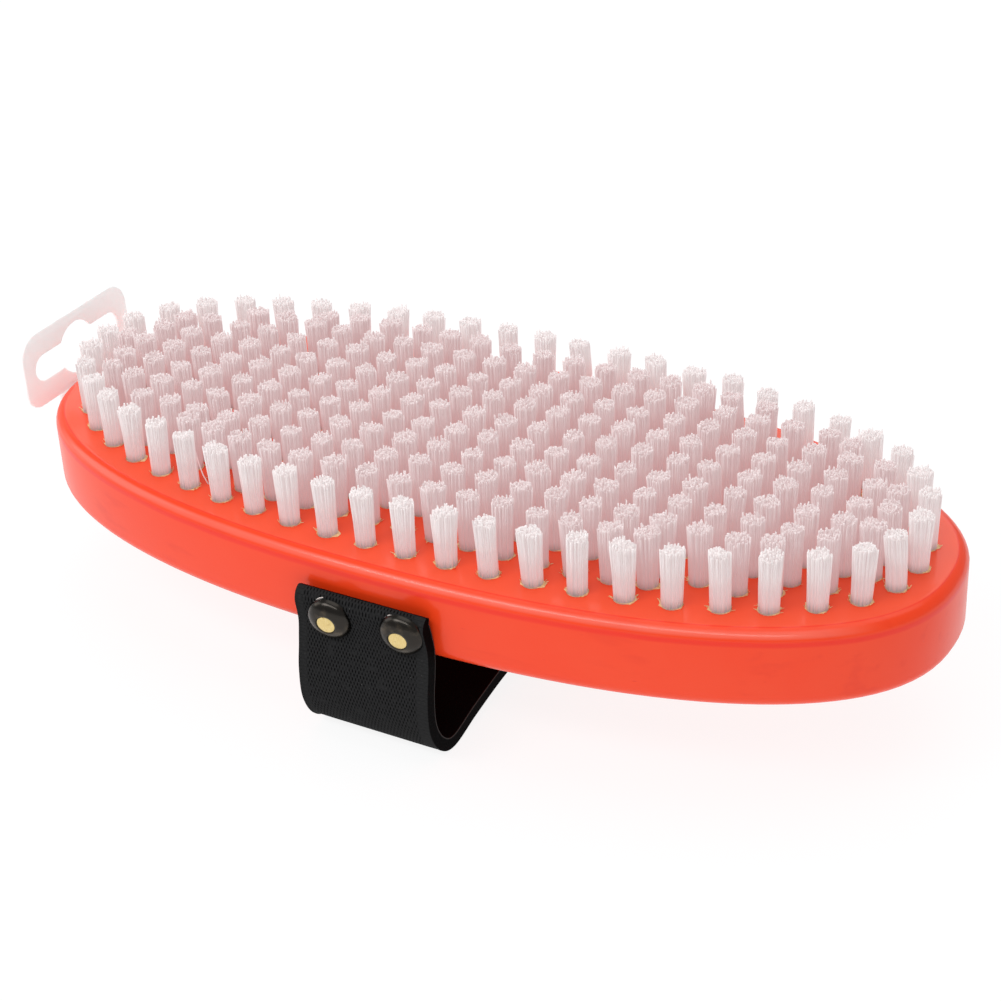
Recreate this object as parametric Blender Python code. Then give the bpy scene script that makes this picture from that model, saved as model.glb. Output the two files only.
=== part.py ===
"""Oval hand brush: a lacquered wooden block set with nylon tufts, an elastic hand strap
nailed across its back, and a folding plastic hang tab on one end.

The block lies back down with its bristles up (+Z). The origin is the centre of the flat
back, X runs along the block, and the strap crosses it along Y. Lengths are in metres.
"""

import math

import bmesh
import bpy
from mathutils import Matrix, Vector

GAP = 0.0003                    # left between pieces that touch

# Wooden block
BLOCK_HALF_LENGTH = 0.093
BLOCK_HALF_WIDTH = 0.041
BLOCK_THICKNESS = 0.0154
OUTLINE_POWER = 2.3             # 2 is an ellipse, more is fuller towards the corners
OUTLINE_POINTS = 88
EDGE_ROUNDING = 0.0024
EDGE_SEGMENTS = 4

# Nylon tufts
TUFT_RADIUS = 0.0020
TUFT_HEIGHT = 0.0105
ROOT_STRIP_HEIGHT = 0.0005
RING_TUFTS = 50
RING_ARCS = 10
RING_INSET = 0.00744            # centre line of the outer ring, in from the outline
ROWS_EACH_SIDE = 4
ROW_PITCH = 0.00665
COLUMN_PITCH = 0.00686
COLUMN_SHIFT = -0.00085
COLUMNS_EACH_SIDE = 13
RING_CLEARANCE = 0.0052         # row tufts nearer the ring than this are moved in
RING_NEAREST = 0.0022           # and nearer than this there is no tuft

# Elastic strap, as the centre line of its section from the wall to the middle
STRAP_CENTRE_X = 0.0001
STRAP_WIDTH = 0.0262
STRAP_THICKNESS = 0.0022
STRAP_TOP = 0.0100
STRAP_SPLIT = -0.0003           # below this the strap is free of the block
STRAP_WALL_Y = BLOCK_HALF_WIDTH + GAP + STRAP_THICKNESS / 2
STRAP_ROUTE = (
    (-STRAP_WALL_Y, STRAP_SPLIT - GAP),
    (-0.0437, -0.0070),
    (-0.0434, -0.0130),
    (-0.0410, -0.0178),
    (-0.0366, -0.0199),
    (-0.0280, -0.0177),
    (-0.0165, -0.0158),
    (0.0, -0.0151),
)
STRAP_STEPS = 5                 # between two points of the route

# Nails and their domed caps
NAIL_SPOTS = ((-0.0060, 0.0052), (0.0088, 0.0058))     # X and Z of the two on a side
NAIL_SHANK_RADIUS = 0.0009
NAIL_HEAD_RADIUS = 0.00175
NAIL_HEAD_THICKNESS = 0.00065
NAIL_HOLE_RADIUS = NAIL_SHANK_RADIUS + GAP
NAIL_DEPTH = 0.0145             # from the strap's outer face to the point
CAP_RADIUS = 0.0042
CAP_HEIGHT = 0.0022
CAP_WALL = 0.0005
CAP_SEAT_RADIUS = NAIL_HEAD_RADIUS + GAP
CAP_SEAT_HEIGHT = 0.0011
TURNED_SIDES = 16

# Hang tab
TAB_WIDTH = 0.0332
TAB_BOTTOM = 0.0127
TAB_TOP = 0.0283
TAB_THICKNESS = 0.0008
TAB_TOP_CORNER = 0.0050
TAB_BOTTOM_CORNER = 0.0030
SLOT_LENGTH = 0.0264
SLOT_HEIGHT = 0.0054
SLOT_BUMP_RADIUS = 0.0054
SLOT_CENTRE_Z = 0.0204
FOOT_WIDTH = 0.0140
FOOT_BOTTOM = 0.0030
FOOT_TOP = 0.0123
FOLD_Z = (FOOT_TOP + TAB_BOTTOM) / 2
PAD_THICKNESS = 0.0005
CORNER_STEPS = 5

PAD_X = -(BLOCK_HALF_LENGTH + GAP + PAD_THICKNESS)
FOOT_INNER_X = PAD_X - GAP
FOOT_OUTER_X = FOOT_INNER_X - TAB_THICKNESS


def clear_scene():
    """Remove every object of the start-up scene."""
    for item in list(bpy.data.objects):
        bpy.data.objects.remove(item, do_unlink=True)


def finish(name, colour, roughness, metallic=0.0, alpha=1.0):
    """A plain Principled material."""
    material = bpy.data.materials.new(name)
    material.use_nodes = True
    shader = material.node_tree.nodes["Principled BSDF"]
    shader.inputs["Base Color"].default_value = (*colour, 1.0)
    shader.inputs["Roughness"].default_value = roughness
    shader.inputs["Metallic"].default_value = metallic
    shader.inputs["Alpha"].default_value = alpha
    return material


def add_object(name, shape, material, smooth_angle=None):
    """Turn a bmesh into a named object with its faces pointing out."""
    bmesh.ops.recalc_face_normals(shape, faces=shape.faces)
    mesh = bpy.data.meshes.new(name)
    shape.to_mesh(mesh)
    shape.free()
    if smooth_angle is not None:
        mesh.shade_smooth()
        mesh.set_sharp_from_angle(angle=math.radians(smooth_angle))
    mesh.materials.append(material)
    item = bpy.data.objects.new(name, mesh)
    bpy.context.scene.collection.objects.link(item)
    return item


def extrude_outline(points, direction):
    """A closed solid from a flat outline and the direction it is extruded in."""
    shape = bmesh.new()
    face = shape.faces.new([shape.verts.new(point) for point in points])
    top = bmesh.ops.extrude_face_region(shape, geom=[face])
    moved = [part for part in top["geom"] if isinstance(part, bmesh.types.BMVert)]
    bmesh.ops.translate(shape, vec=Vector(direction), verts=moved)
    return shape


def superellipse(inset, angle):
    """A point of the block's outline, or of one that lies further in."""
    across = abs(math.cos(angle)) ** (2 / OUTLINE_POWER)
    along = abs(math.sin(angle)) ** (2 / OUTLINE_POWER)
    x = math.copysign((BLOCK_HALF_LENGTH - inset) * across, math.cos(angle))
    y = math.copysign((BLOCK_HALF_WIDTH - inset) * along, math.sin(angle))
    return Vector((x, y))


def even_angles(count, samples=3600):
    """Angles of points spaced evenly along the block's outline."""
    angles = [2 * math.pi * step / samples for step in range(samples + 1)]
    points = [superellipse(0.0, angle) for angle in angles]
    travelled = [0.0]
    for before, after in zip(points, points[1:]):
        travelled.append(travelled[-1] + (after - before).length)
    found = []
    step = 0
    for index in range(count):
        wanted = travelled[-1] * index / count
        while travelled[step + 1] < wanted:
            step += 1
        found.append(angles[step])
    return found


def cut(item, cutters):
    """Subtract the cutters from an object with Boolean modifiers."""
    for cutter in cutters:
        modifier = item.modifiers.new("Hole", "BOOLEAN")
        modifier.operation = "DIFFERENCE"
        modifier.solver = "EXACT"
        modifier.object = cutter


def as_cutter(item):
    """Keep a tool body out of the finished model."""
    item.hide_render = True
    item.display_type = "WIRE"
    return item


def make_block(material, hole_cutters):
    """The wooden block: an oval plate with rounded edges and blind nail holes."""
    points = [superellipse(0.0, angle).to_3d() for angle in even_angles(OUTLINE_POINTS)]
    shape = extrude_outline(points, (0, 0, BLOCK_THICKNESS))
    block = add_object("block", shape, material, smooth_angle=40)
    rounding = block.modifiers.new("Rounded edges", "BEVEL")
    rounding.width = EDGE_ROUNDING
    rounding.segments = EDGE_SEGMENTS
    rounding.limit_method = "ANGLE"
    rounding.angle_limit = math.radians(60)
    cut(block, hole_cutters)


def ring_stations():
    """Tuft centres of the outer ring, spaced evenly along the block's edge."""
    return [superellipse(RING_INSET, angle) for angle in even_angles(RING_TUFTS)]


def nearest_on_ring(point, ring_line):
    """The point of the ring's centre line nearest to a tuft."""
    return min(ring_line, key=lambda candidate: (candidate - point).length_squared)


def inside_ring(point):
    """True within the ring's centre line."""
    across = abs(point.x) / (BLOCK_HALF_LENGTH - RING_INSET)
    along = abs(point.y) / (BLOCK_HALF_WIDTH - RING_INSET)
    return across**OUTLINE_POWER + along**OUTLINE_POWER < 1


def row_stations(row, ring_line):
    """Tuft centres of one straight row, with its end tufts moved clear of the ring."""
    stations = []
    for column in range(-COLUMNS_EACH_SIDE, COLUMNS_EACH_SIDE + 1):
        point = Vector((COLUMN_SHIFT + COLUMN_PITCH * column, ROW_PITCH * row))
        if not inside_ring(point):
            continue
        nearest = nearest_on_ring(point, ring_line)
        inward = point - nearest
        if inward.length < RING_NEAREST:
            continue
        if inward.length < RING_CLEARANCE:
            point = nearest + inward.normalized() * RING_CLEARANCE
        stations.append(point)
    return stations


def tuft_chain(name, stations, material):
    """Six-sided tufts along a line, joined at their roots by a thin strip."""
    base = BLOCK_THICKNESS + GAP
    shape = bmesh.new()
    corners = []
    for index, centre in enumerate(stations):
        before = stations[max(index - 1, 0)]
        after = stations[min(index + 1, len(stations) - 1)]
        heading = math.atan2(after.y - before.y, after.x - before.x)
        turns = [heading + math.radians(60 * side + 30) for side in range(6)]
        rim = [
            centre + TUFT_RADIUS * Vector((math.cos(turn), math.sin(turn)))
            for turn in turns
        ]
        corners.append([shape.verts.new((spot.x, spot.y, base)) for spot in rim])
    for ring in corners:
        shape.faces.new(ring)
    for here, there in zip(corners, corners[1:]):
        shape.faces.new((here[5], there[3], there[2], here[0]))
    strip = bmesh.ops.extrude_face_region(shape, geom=shape.faces[:])
    raised = [part for part in strip["geom"] if isinstance(part, bmesh.types.BMVert)]
    bmesh.ops.translate(shape, vec=(0, 0, ROOT_STRIP_HEIGHT), verts=raised)
    tops = [
        part
        for part in strip["geom"]
        if isinstance(part, bmesh.types.BMFace) and len(part.verts) == 6
    ]
    tufts = bmesh.ops.extrude_discrete_faces(shape, faces=tops)
    tips = list({corner for face in tufts["faces"] for corner in face.verts})
    rise = TUFT_HEIGHT - ROOT_STRIP_HEIGHT - GAP
    bmesh.ops.translate(shape, vec=(0, 0, rise), verts=tips)
    add_object(name, shape, material)


def make_tufts(material):
    """The outer ring in equal arcs, and the straight rows inside it."""
    ring = ring_stations()
    share = RING_TUFTS // RING_ARCS
    for arc in range(RING_ARCS):
        tuft_chain(f"ring_tufts_{arc + 1:02d}", ring[arc * share:(arc + 1) * share], material)
    ring_line = [superellipse(RING_INSET, math.radians(step / 2)) for step in range(720)]
    for row in range(-ROWS_EACH_SIDE, ROWS_EACH_SIDE + 1):
        stations = row_stations(row, ring_line)
        tuft_chain(f"row_tufts_{row + ROWS_EACH_SIDE + 1}", stations, material)


def smooth_route(points, steps):
    """Points of a smooth curve through a few given ones."""
    padded = [2 * points[0] - points[1], *points, 2 * points[-1] - points[-2]]
    route = []
    for first, start, end, last in zip(padded, padded[1:], padded[2:], padded[3:]):
        for step in range(steps):
            t = step / steps
            bend = (2 * first - 5 * start + 4 * end - last) * t * t
            twist = (3 * start - 3 * end + last - first) * t * t * t
            route.append((2 * start + (end - first) * t + bend + twist) / 2)
    route.append(points[-1])
    return route


def strip_outline(route):
    """The closed section of a strip of even thickness along a route in the YZ plane."""
    left = []
    right = []
    for index, point in enumerate(route):
        before = route[max(index - 1, 0)]
        after = route[min(index + 1, len(route) - 1)]
        direction = (after - before).normalized()
        side = Vector((-direction.y, direction.x)) * STRAP_THICKNESS / 2
        left.append(point + side)
        right.append(point - side)
    return left + right[::-1]


def make_strip(name, route, material):
    """A length of the strap's webbing."""
    start_x = STRAP_CENTRE_X - STRAP_WIDTH / 2
    points = [(start_x, spot.x, spot.y) for spot in strip_outline(route)]
    return add_object(name, extrude_outline(points, (STRAP_WIDTH, 0, 0)), material, 35)


def make_strap(material, hole_cutters):
    """Two nailed ends on the block's sides, and the free loop between them."""
    half = smooth_route([Vector(point) for point in STRAP_ROUTE], STRAP_STEPS)
    other_half = [Vector((-point.x, point.y)) for point in half[-2::-1]]
    make_strip("strap_loop", half + other_half, material)
    for name, side in (("strap_end_near", -1), ("strap_end_far", 1)):
        route = [
            Vector((side * STRAP_WALL_Y, STRAP_TOP)),
            Vector((side * STRAP_WALL_Y, STRAP_SPLIT)),
        ]
        end = make_strip(name, route, material)
        cut(end, hole_cutters[side])


def turned_solid(profile):
    """A solid of revolution about Z from a closed profile of (radius, height) points."""
    shape = bmesh.new()
    corners = [shape.verts.new((radius, 0, height)) for radius, height in profile]
    edges = [
        shape.edges.new((corner, corners[(index + 1) % len(corners)]))
        for index, corner in enumerate(corners)
    ]
    bmesh.ops.spin(
        shape,
        geom=corners + edges,
        axis=(0, 0, 1),
        cent=(0, 0, 0),
        angle=2 * math.pi,
        steps=TURNED_SIDES,
        use_merge=True,
    )
    bmesh.ops.remove_doubles(shape, verts=shape.verts, dist=1e-6)
    bmesh.ops.dissolve_degenerate(shape, edges=shape.edges, dist=1e-6)
    return shape


def quarter_dome(radius, height, least_radius, steps):
    """Points of an elliptical dome from its rim up to where it is least_radius wide."""
    last = math.acos(least_radius / radius)
    turns = [last * step / steps for step in range(steps + 1)]
    return [(radius * math.cos(turn), height * math.sin(turn)) for turn in turns]


def cap_profile():
    """Section of a domed cap: outer skin, recessed seat, nail hole and inner skin."""
    seat_underside = CAP_SEAT_HEIGHT - CAP_WALL
    inner_radius = CAP_SEAT_RADIUS + CAP_WALL
    inner = quarter_dome(CAP_RADIUS - CAP_WALL, CAP_HEIGHT - CAP_WALL, inner_radius, 3)
    seat = [
        (CAP_SEAT_RADIUS, CAP_SEAT_HEIGHT),
        (NAIL_HOLE_RADIUS, CAP_SEAT_HEIGHT),
        (NAIL_HOLE_RADIUS, seat_underside),
        (inner_radius, seat_underside),
    ]
    return quarter_dome(CAP_RADIUS, CAP_HEIGHT, CAP_SEAT_RADIUS, 5) + seat + inner[::-1]


def nail_profile():
    """Half section of a flat-headed nail, down to its point."""
    head_base = CAP_SEAT_HEIGHT + GAP
    head_top = head_base + NAIL_HEAD_THICKNESS
    chamfer = NAIL_HEAD_THICKNESS / 4
    return [
        (0.0, head_top),
        (NAIL_HEAD_RADIUS - chamfer, head_top),
        (NAIL_HEAD_RADIUS, head_top - chamfer),
        (NAIL_HEAD_RADIUS, head_base),
        (NAIL_SHANK_RADIUS, head_base),
        (NAIL_SHANK_RADIUS, 3 * NAIL_SHANK_RADIUS - NAIL_DEPTH),
        (0.0, -NAIL_DEPTH),
    ]


def nail_places():
    """Each nail's name, side of the block and place on the strap's outer face."""
    strap_face = STRAP_WALL_Y + STRAP_THICKNESS / 2 + GAP
    for side_name, side in (("near", -1), ("far", 1)):
        for end_name, (x, z) in zip(("left", "right"), NAIL_SPOTS):
            yield f"{side_name}_{end_name}", side, Vector((x, side * strap_face, z))


def pointed_out(side):
    """The turn that lays a piece's +Z along the outward side of the block."""
    return Matrix.Rotation(-side * math.pi / 2, 4, "X")


def make_nails(cap_material, nail_material):
    """Domed caps and the brass nails through them."""
    for name, side, place in nail_places():
        cap = add_object(f"cap_{name}", turned_solid(cap_profile()), cap_material, 35)
        cap.matrix_world = Matrix.Translation(place) @ pointed_out(side)
        nail = add_object(f"nail_{name}", turned_solid(nail_profile()), nail_material, 35)
        nail.matrix_world = Matrix.Translation(place) @ pointed_out(side)


def make_nail_cutters():
    """Round bars through the strap's ends into the block, for each side."""
    cutters = {-1: [], 1: []}
    for name, side, place in nail_places():
        shape = bmesh.new()
        bmesh.ops.create_cone(
            shape,
            cap_ends=True,
            segments=TURNED_SIDES,
            radius1=NAIL_HOLE_RADIUS,
            radius2=NAIL_HOLE_RADIUS,
            depth=2 * (NAIL_DEPTH + GAP),
        )
        bar = as_cutter(add_object(f"cutter_{name}", shape, None))
        bar.matrix_world = Matrix.Translation(place) @ pointed_out(side)
        cutters[side].append(bar)
    return cutters


def arc_points(centre_y, centre_z, radius, first_degrees, sweep_degrees):
    """Points of a rounded corner in the YZ plane."""
    turns = [
        math.radians(first_degrees + sweep_degrees * step / CORNER_STEPS)
        for step in range(CORNER_STEPS + 1)
    ]
    return [
        (centre_y + radius * math.cos(turn), centre_z + radius * math.sin(turn))
        for turn in turns
    ]


def make_slot_cutters():
    """The slot's long stadium and the round bump at its middle."""
    reach = SLOT_LENGTH / 2 - SLOT_HEIGHT / 2
    radius = SLOT_HEIGHT / 2
    outline = arc_points(reach, SLOT_CENTRE_Z, radius, -90, 180)
    outline += arc_points(-reach, SLOT_CENTRE_Z, radius, 90, 180)
    start = FOOT_OUTER_X - TAB_THICKNESS
    points = [(start, y, z) for y, z in outline]
    long_part = extrude_outline(points, (3 * TAB_THICKNESS, 0, 0))
    bump = bmesh.new()
    bmesh.ops.create_cone(
        bump,
        cap_ends=True,
        segments=24,
        radius1=SLOT_BUMP_RADIUS,
        radius2=SLOT_BUMP_RADIUS,
        depth=3 * TAB_THICKNESS,
        matrix=Matrix.Translation((start + 1.5 * TAB_THICKNESS, 0, SLOT_CENTRE_Z))
        @ Matrix.Rotation(math.pi / 2, 4, "Y"),
    )
    return [
        as_cutter(add_object("cutter_slot", long_part, None)),
        as_cutter(add_object("cutter_slot_bump", bump, None)),
    ]


def make_hang_tab(material, pad_material):
    """A hanging flag that folds on its foot, and the sticky pad behind the foot."""
    half = TAB_WIDTH / 2
    low = TAB_BOTTOM_CORNER
    high = TAB_TOP_CORNER
    outline = arc_points(half - low, TAB_BOTTOM + low, low, -90, 90)
    outline += arc_points(half - high, TAB_TOP - high, high, 0, 90)
    outline += arc_points(-half + high, TAB_TOP - high, high, 90, 90)
    outline += arc_points(-half + low, TAB_BOTTOM + low, low, 180, 90)
    points = [(0, y, z - FOLD_Z) for y, z in outline]
    flag = add_object("tab_flag", extrude_outline(points, (TAB_THICKNESS, 0, 0)), material)
    flag.location = (FOOT_OUTER_X, 0, FOLD_Z)
    cut(flag, make_slot_cutters())
    for name, inner_x, thickness, own_material in (
        ("tab_foot", FOOT_INNER_X, TAB_THICKNESS, material),
        ("tab_pad", PAD_X + PAD_THICKNESS, PAD_THICKNESS, pad_material),
    ):
        reach = FOOT_WIDTH / 2
        corners = ((-reach, FOOT_BOTTOM), (reach, FOOT_BOTTOM), (reach, FOOT_TOP), (-reach, FOOT_TOP))
        plate = [(inner_x, y, z) for y, z in corners]
        add_object(name, extrude_outline(plate, (-thickness, 0, 0)), own_material)


def main():
    """Build every piece of the brush."""
    clear_scene()
    lacquer = finish("lacquered_wood", (0.93, 0.11, 0.05), 0.35)
    nylon = finish("nylon", (0.88, 0.80, 0.80), 0.45)
    webbing = finish("elastic_webbing", (0.012, 0.013, 0.015), 0.85)
    dark_metal = finish("dark_metal", (0.06, 0.055, 0.05), 0.3, metallic=1.0)
    brass = finish("brass", (0.75, 0.55, 0.22), 0.3, metallic=1.0)
    clear_plastic = finish("tab_plastic", (0.85, 0.78, 0.78), 0.3, alpha=0.6)
    foam = finish("sticky_foam", (0.8, 0.8, 0.78), 0.8)
    cutters = make_nail_cutters()
    make_block(lacquer, cutters[-1] + cutters[1])
    make_tufts(nylon)
    make_strap(webbing, cutters)
    make_nails(dark_metal, brass)
    make_hang_tab(clear_plastic, foam)


main()
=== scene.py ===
"""Looks of the oval hand brush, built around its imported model.

The lacquered block lies on its back with the bristles up (+Z). X runs along the block and
the elastic strap crosses it along Y. Lengths are in metres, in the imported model's frame.
"""

from __future__ import annotations

import logging
import math
import random
from dataclasses import dataclass
from enum import Enum

import bmesh
import bpy
from mathutils import Matrix, Quaternion, Vector

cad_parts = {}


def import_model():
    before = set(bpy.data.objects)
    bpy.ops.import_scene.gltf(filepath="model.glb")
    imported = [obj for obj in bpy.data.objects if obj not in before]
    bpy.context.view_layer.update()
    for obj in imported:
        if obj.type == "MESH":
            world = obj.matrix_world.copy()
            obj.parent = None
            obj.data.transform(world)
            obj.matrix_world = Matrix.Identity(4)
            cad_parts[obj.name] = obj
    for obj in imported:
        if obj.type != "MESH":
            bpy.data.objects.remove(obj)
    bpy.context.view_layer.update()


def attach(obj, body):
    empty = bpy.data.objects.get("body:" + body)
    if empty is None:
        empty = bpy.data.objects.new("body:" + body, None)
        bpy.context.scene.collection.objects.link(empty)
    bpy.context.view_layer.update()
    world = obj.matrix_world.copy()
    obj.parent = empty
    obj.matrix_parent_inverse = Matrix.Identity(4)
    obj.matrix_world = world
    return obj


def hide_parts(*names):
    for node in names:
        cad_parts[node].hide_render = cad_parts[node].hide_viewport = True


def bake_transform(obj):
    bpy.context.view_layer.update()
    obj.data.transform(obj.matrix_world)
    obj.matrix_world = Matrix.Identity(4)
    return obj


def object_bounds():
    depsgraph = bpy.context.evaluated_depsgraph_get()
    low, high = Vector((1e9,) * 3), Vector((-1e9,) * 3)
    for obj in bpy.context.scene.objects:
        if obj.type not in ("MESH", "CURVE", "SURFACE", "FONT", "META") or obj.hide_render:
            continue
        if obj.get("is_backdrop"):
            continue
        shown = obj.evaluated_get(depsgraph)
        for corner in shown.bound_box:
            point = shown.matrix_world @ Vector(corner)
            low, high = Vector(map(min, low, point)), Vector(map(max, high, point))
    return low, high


LOG = logging.getLogger("hand_brush")
GAP = 0.0003
SAME_PLACE = 1e-6
FIBRE_SIDES = 5
FIBRE_SHARP_ANGLE = 60.0

Colour = tuple[float, float, float]


class Body(Enum):
    """The moving bodies of the brush."""

    BRUSH = "brush"
    HAND_LOOP = "hand_loop"
    HANG_FLAG = "hang_flag"


class Slot(Enum):
    """The record's material slots."""

    WOOD = "lacquered_wood"
    NYLON = "nylon"
    WEBBING = "webbing"
    CAP = "cap_metal"
    BRASS = "nail_brass"
    PLASTIC = "tab_plastic"
    FOAM = "sticky_foam"


# ---- shading tools


class Signal:
    """A shader value that takes part in Python arithmetic."""

    def __init__(self, board: Board, socket: bpy.types.NodeSocket) -> None:
        """Wrap one output socket of a node board."""
        self.board = board
        self.socket = socket

    def _math(self, operation: str, *terms: Signal | float) -> Signal:
        """The result of one Math node, fed with the terms in order."""
        inputs = dict(enumerate(terms))
        return self.board.node("ShaderNodeMath", {"operation": operation}, inputs)

    def __add__(self, other: Signal | float) -> Signal:
        """Sum with another value."""
        return self._math("ADD", self, other)

    __radd__ = __add__

    def __sub__(self, other: Signal | float) -> Signal:
        """Difference from another value."""
        return self._math("SUBTRACT", self, other)

    def __rsub__(self, other: float) -> Signal:
        """Difference of a number and this value."""
        return self._math("SUBTRACT", other, self)

    def __mul__(self, other: Signal | float) -> Signal:
        """Product with another value."""
        return self._math("MULTIPLY", self, other)

    __rmul__ = __mul__

    def __abs__(self) -> Signal:
        """This value without its sign."""
        return self._math("ABSOLUTE", self)

    def sine(self) -> Signal:
        """The sine of this value."""
        return self._math("SINE", self)

    def ease(self, low: float, high: float) -> Signal:
        """A smooth step from 0 at low to 1 at high.

        Args:
            low: Where the step starts.
            high: Where it ends, which may be below low.

        Returns:
            The eased value from 0 to 1.
        """
        if low > high:
            return 1.0 - self.ease(high, low)
        settings = {"interpolation_type": "SMOOTHSTEP", "clamp": True}
        inputs = {"Value": self, "From Min": low, "From Max": high}
        return self.board.node("ShaderNodeMapRange", settings, inputs)

    def within(self, low: float, high: float, fade: float) -> Signal:
        """1 between two values, fading to 0 at both."""
        return self.ease(low, low + fade) * self.ease(high, high - fade)


class Board:
    """The node tree of one finish."""

    def __init__(self, name: str) -> None:
        """Start a material with one Principled shader.

        Args:
            name: The material's name.
        """
        self.material = bpy.data.materials.new(name)
        self.material.use_nodes = True
        self.tree = self.material.node_tree
        self.shader = self.tree.nodes["Principled BSDF"]

    def node(
        self,
        kind: str,
        settings: dict[str, object] | None = None,
        inputs: dict[str | int, object] | None = None,
        output: str | int = 0,
    ) -> Signal:
        """Add one node of any type.

        Args:
            kind: Blender's type of the node.
            settings: Its properties, set before its sockets.
            inputs: Values or signals by socket name or number.
            output: The socket to read.

        Returns:
            The chosen output.
        """
        made = self.tree.nodes.new(kind)
        for name, value in (settings or {}).items():
            setattr(made, name, value)
        for name, value in (inputs or {}).items():
            self.feed(made.inputs[name], value)
        return Signal(self, made.outputs[output])

    def feed(self, socket: bpy.types.NodeSocket, value: object) -> None:
        """Link a signal to a socket, or set the socket's own value.

        Args:
            socket: The input.
            value: A signal, a number, a colour or a vector.
        """
        if isinstance(value, Signal):
            self.tree.links.new(value.socket, socket)
        elif isinstance(value, tuple) and len(socket.default_value) == 4:
            socket.default_value = (*value, 1.0)
        else:
            socket.default_value = value

    def dress(self, **inputs: object) -> bpy.types.Material:
        """Set the Principled shader's inputs.

        Args:
            **inputs: Socket names, with underscores for spaces.

        Returns:
            The finished material.
        """
        for name, value in inputs.items():
            label = name.replace("_", " ").title().replace("Ior", "IOR")
            self.feed(self.shader.inputs[label], value)
        return self.material

    def place(self) -> Signal:
        """The point on the object, in metres."""
        return self.node("ShaderNodeTexCoord", output="Object")

    def chart(self) -> Signal:
        """The point on the piece's own UV map."""
        return self.node("ShaderNodeTexCoord", output="UV")

    def part(self, vector: Signal, axis: str) -> Signal:
        """One component of a vector."""
        return self.node("ShaderNodeSeparateXYZ", inputs={0: vector}, output=axis)

    def stretched(self, vector: Signal, scale: tuple[float, float, float]) -> Signal:
        """A vector scaled by its own amount on each axis."""
        return self.node("ShaderNodeMapping", inputs={"Vector": vector, "Scale": scale})

    def cloud(
        self, vector: Signal, scale: float, detail: float = 3.0, roughness: float = 0.5
    ) -> Signal:
        """Soft noise from 0 to 1, with its scale in cells to a metre."""
        inputs = {"Vector": vector, "Scale": scale, "Detail": detail, "Roughness": roughness}
        return self.node("ShaderNodeTexNoise", inputs=inputs)

    def cells(self, vector: Signal, scale: float) -> Signal:
        """Distance to the nearest of scattered points, in cells."""
        return self.node("ShaderNodeTexVoronoi", inputs={"Vector": vector, "Scale": scale})

    def mix(
        self, factor: Signal | float, first: Signal | Colour, second: Signal | Colour
    ) -> Signal:
        """A colour between the first, at factor 0, and the second, at factor 1."""
        inputs = {0: factor, 6: first, 7: second}
        return self.node("ShaderNodeMix", {"data_type": "RGBA"}, inputs, 2)

    def bump(
        self, height: Signal, distance: float, strength: float = 1.0, below: Signal | None = None
    ) -> Signal:
        """A normal bent by a height.

        Args:
            height: The height signal.
            distance: Metres that a height of 1 stands for.
            strength: Share of the effect.
            below: A bump that this one is laid over.

        Returns:
            The bent normal.
        """
        inputs: dict[str | int, object] = {
            "Height": height,
            "Distance": distance,
            "Strength": strength,
        }
        if below is not None:
            inputs["Normal"] = below
        return self.node("ShaderNodeBump", inputs=inputs)


# ---- finishes


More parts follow.
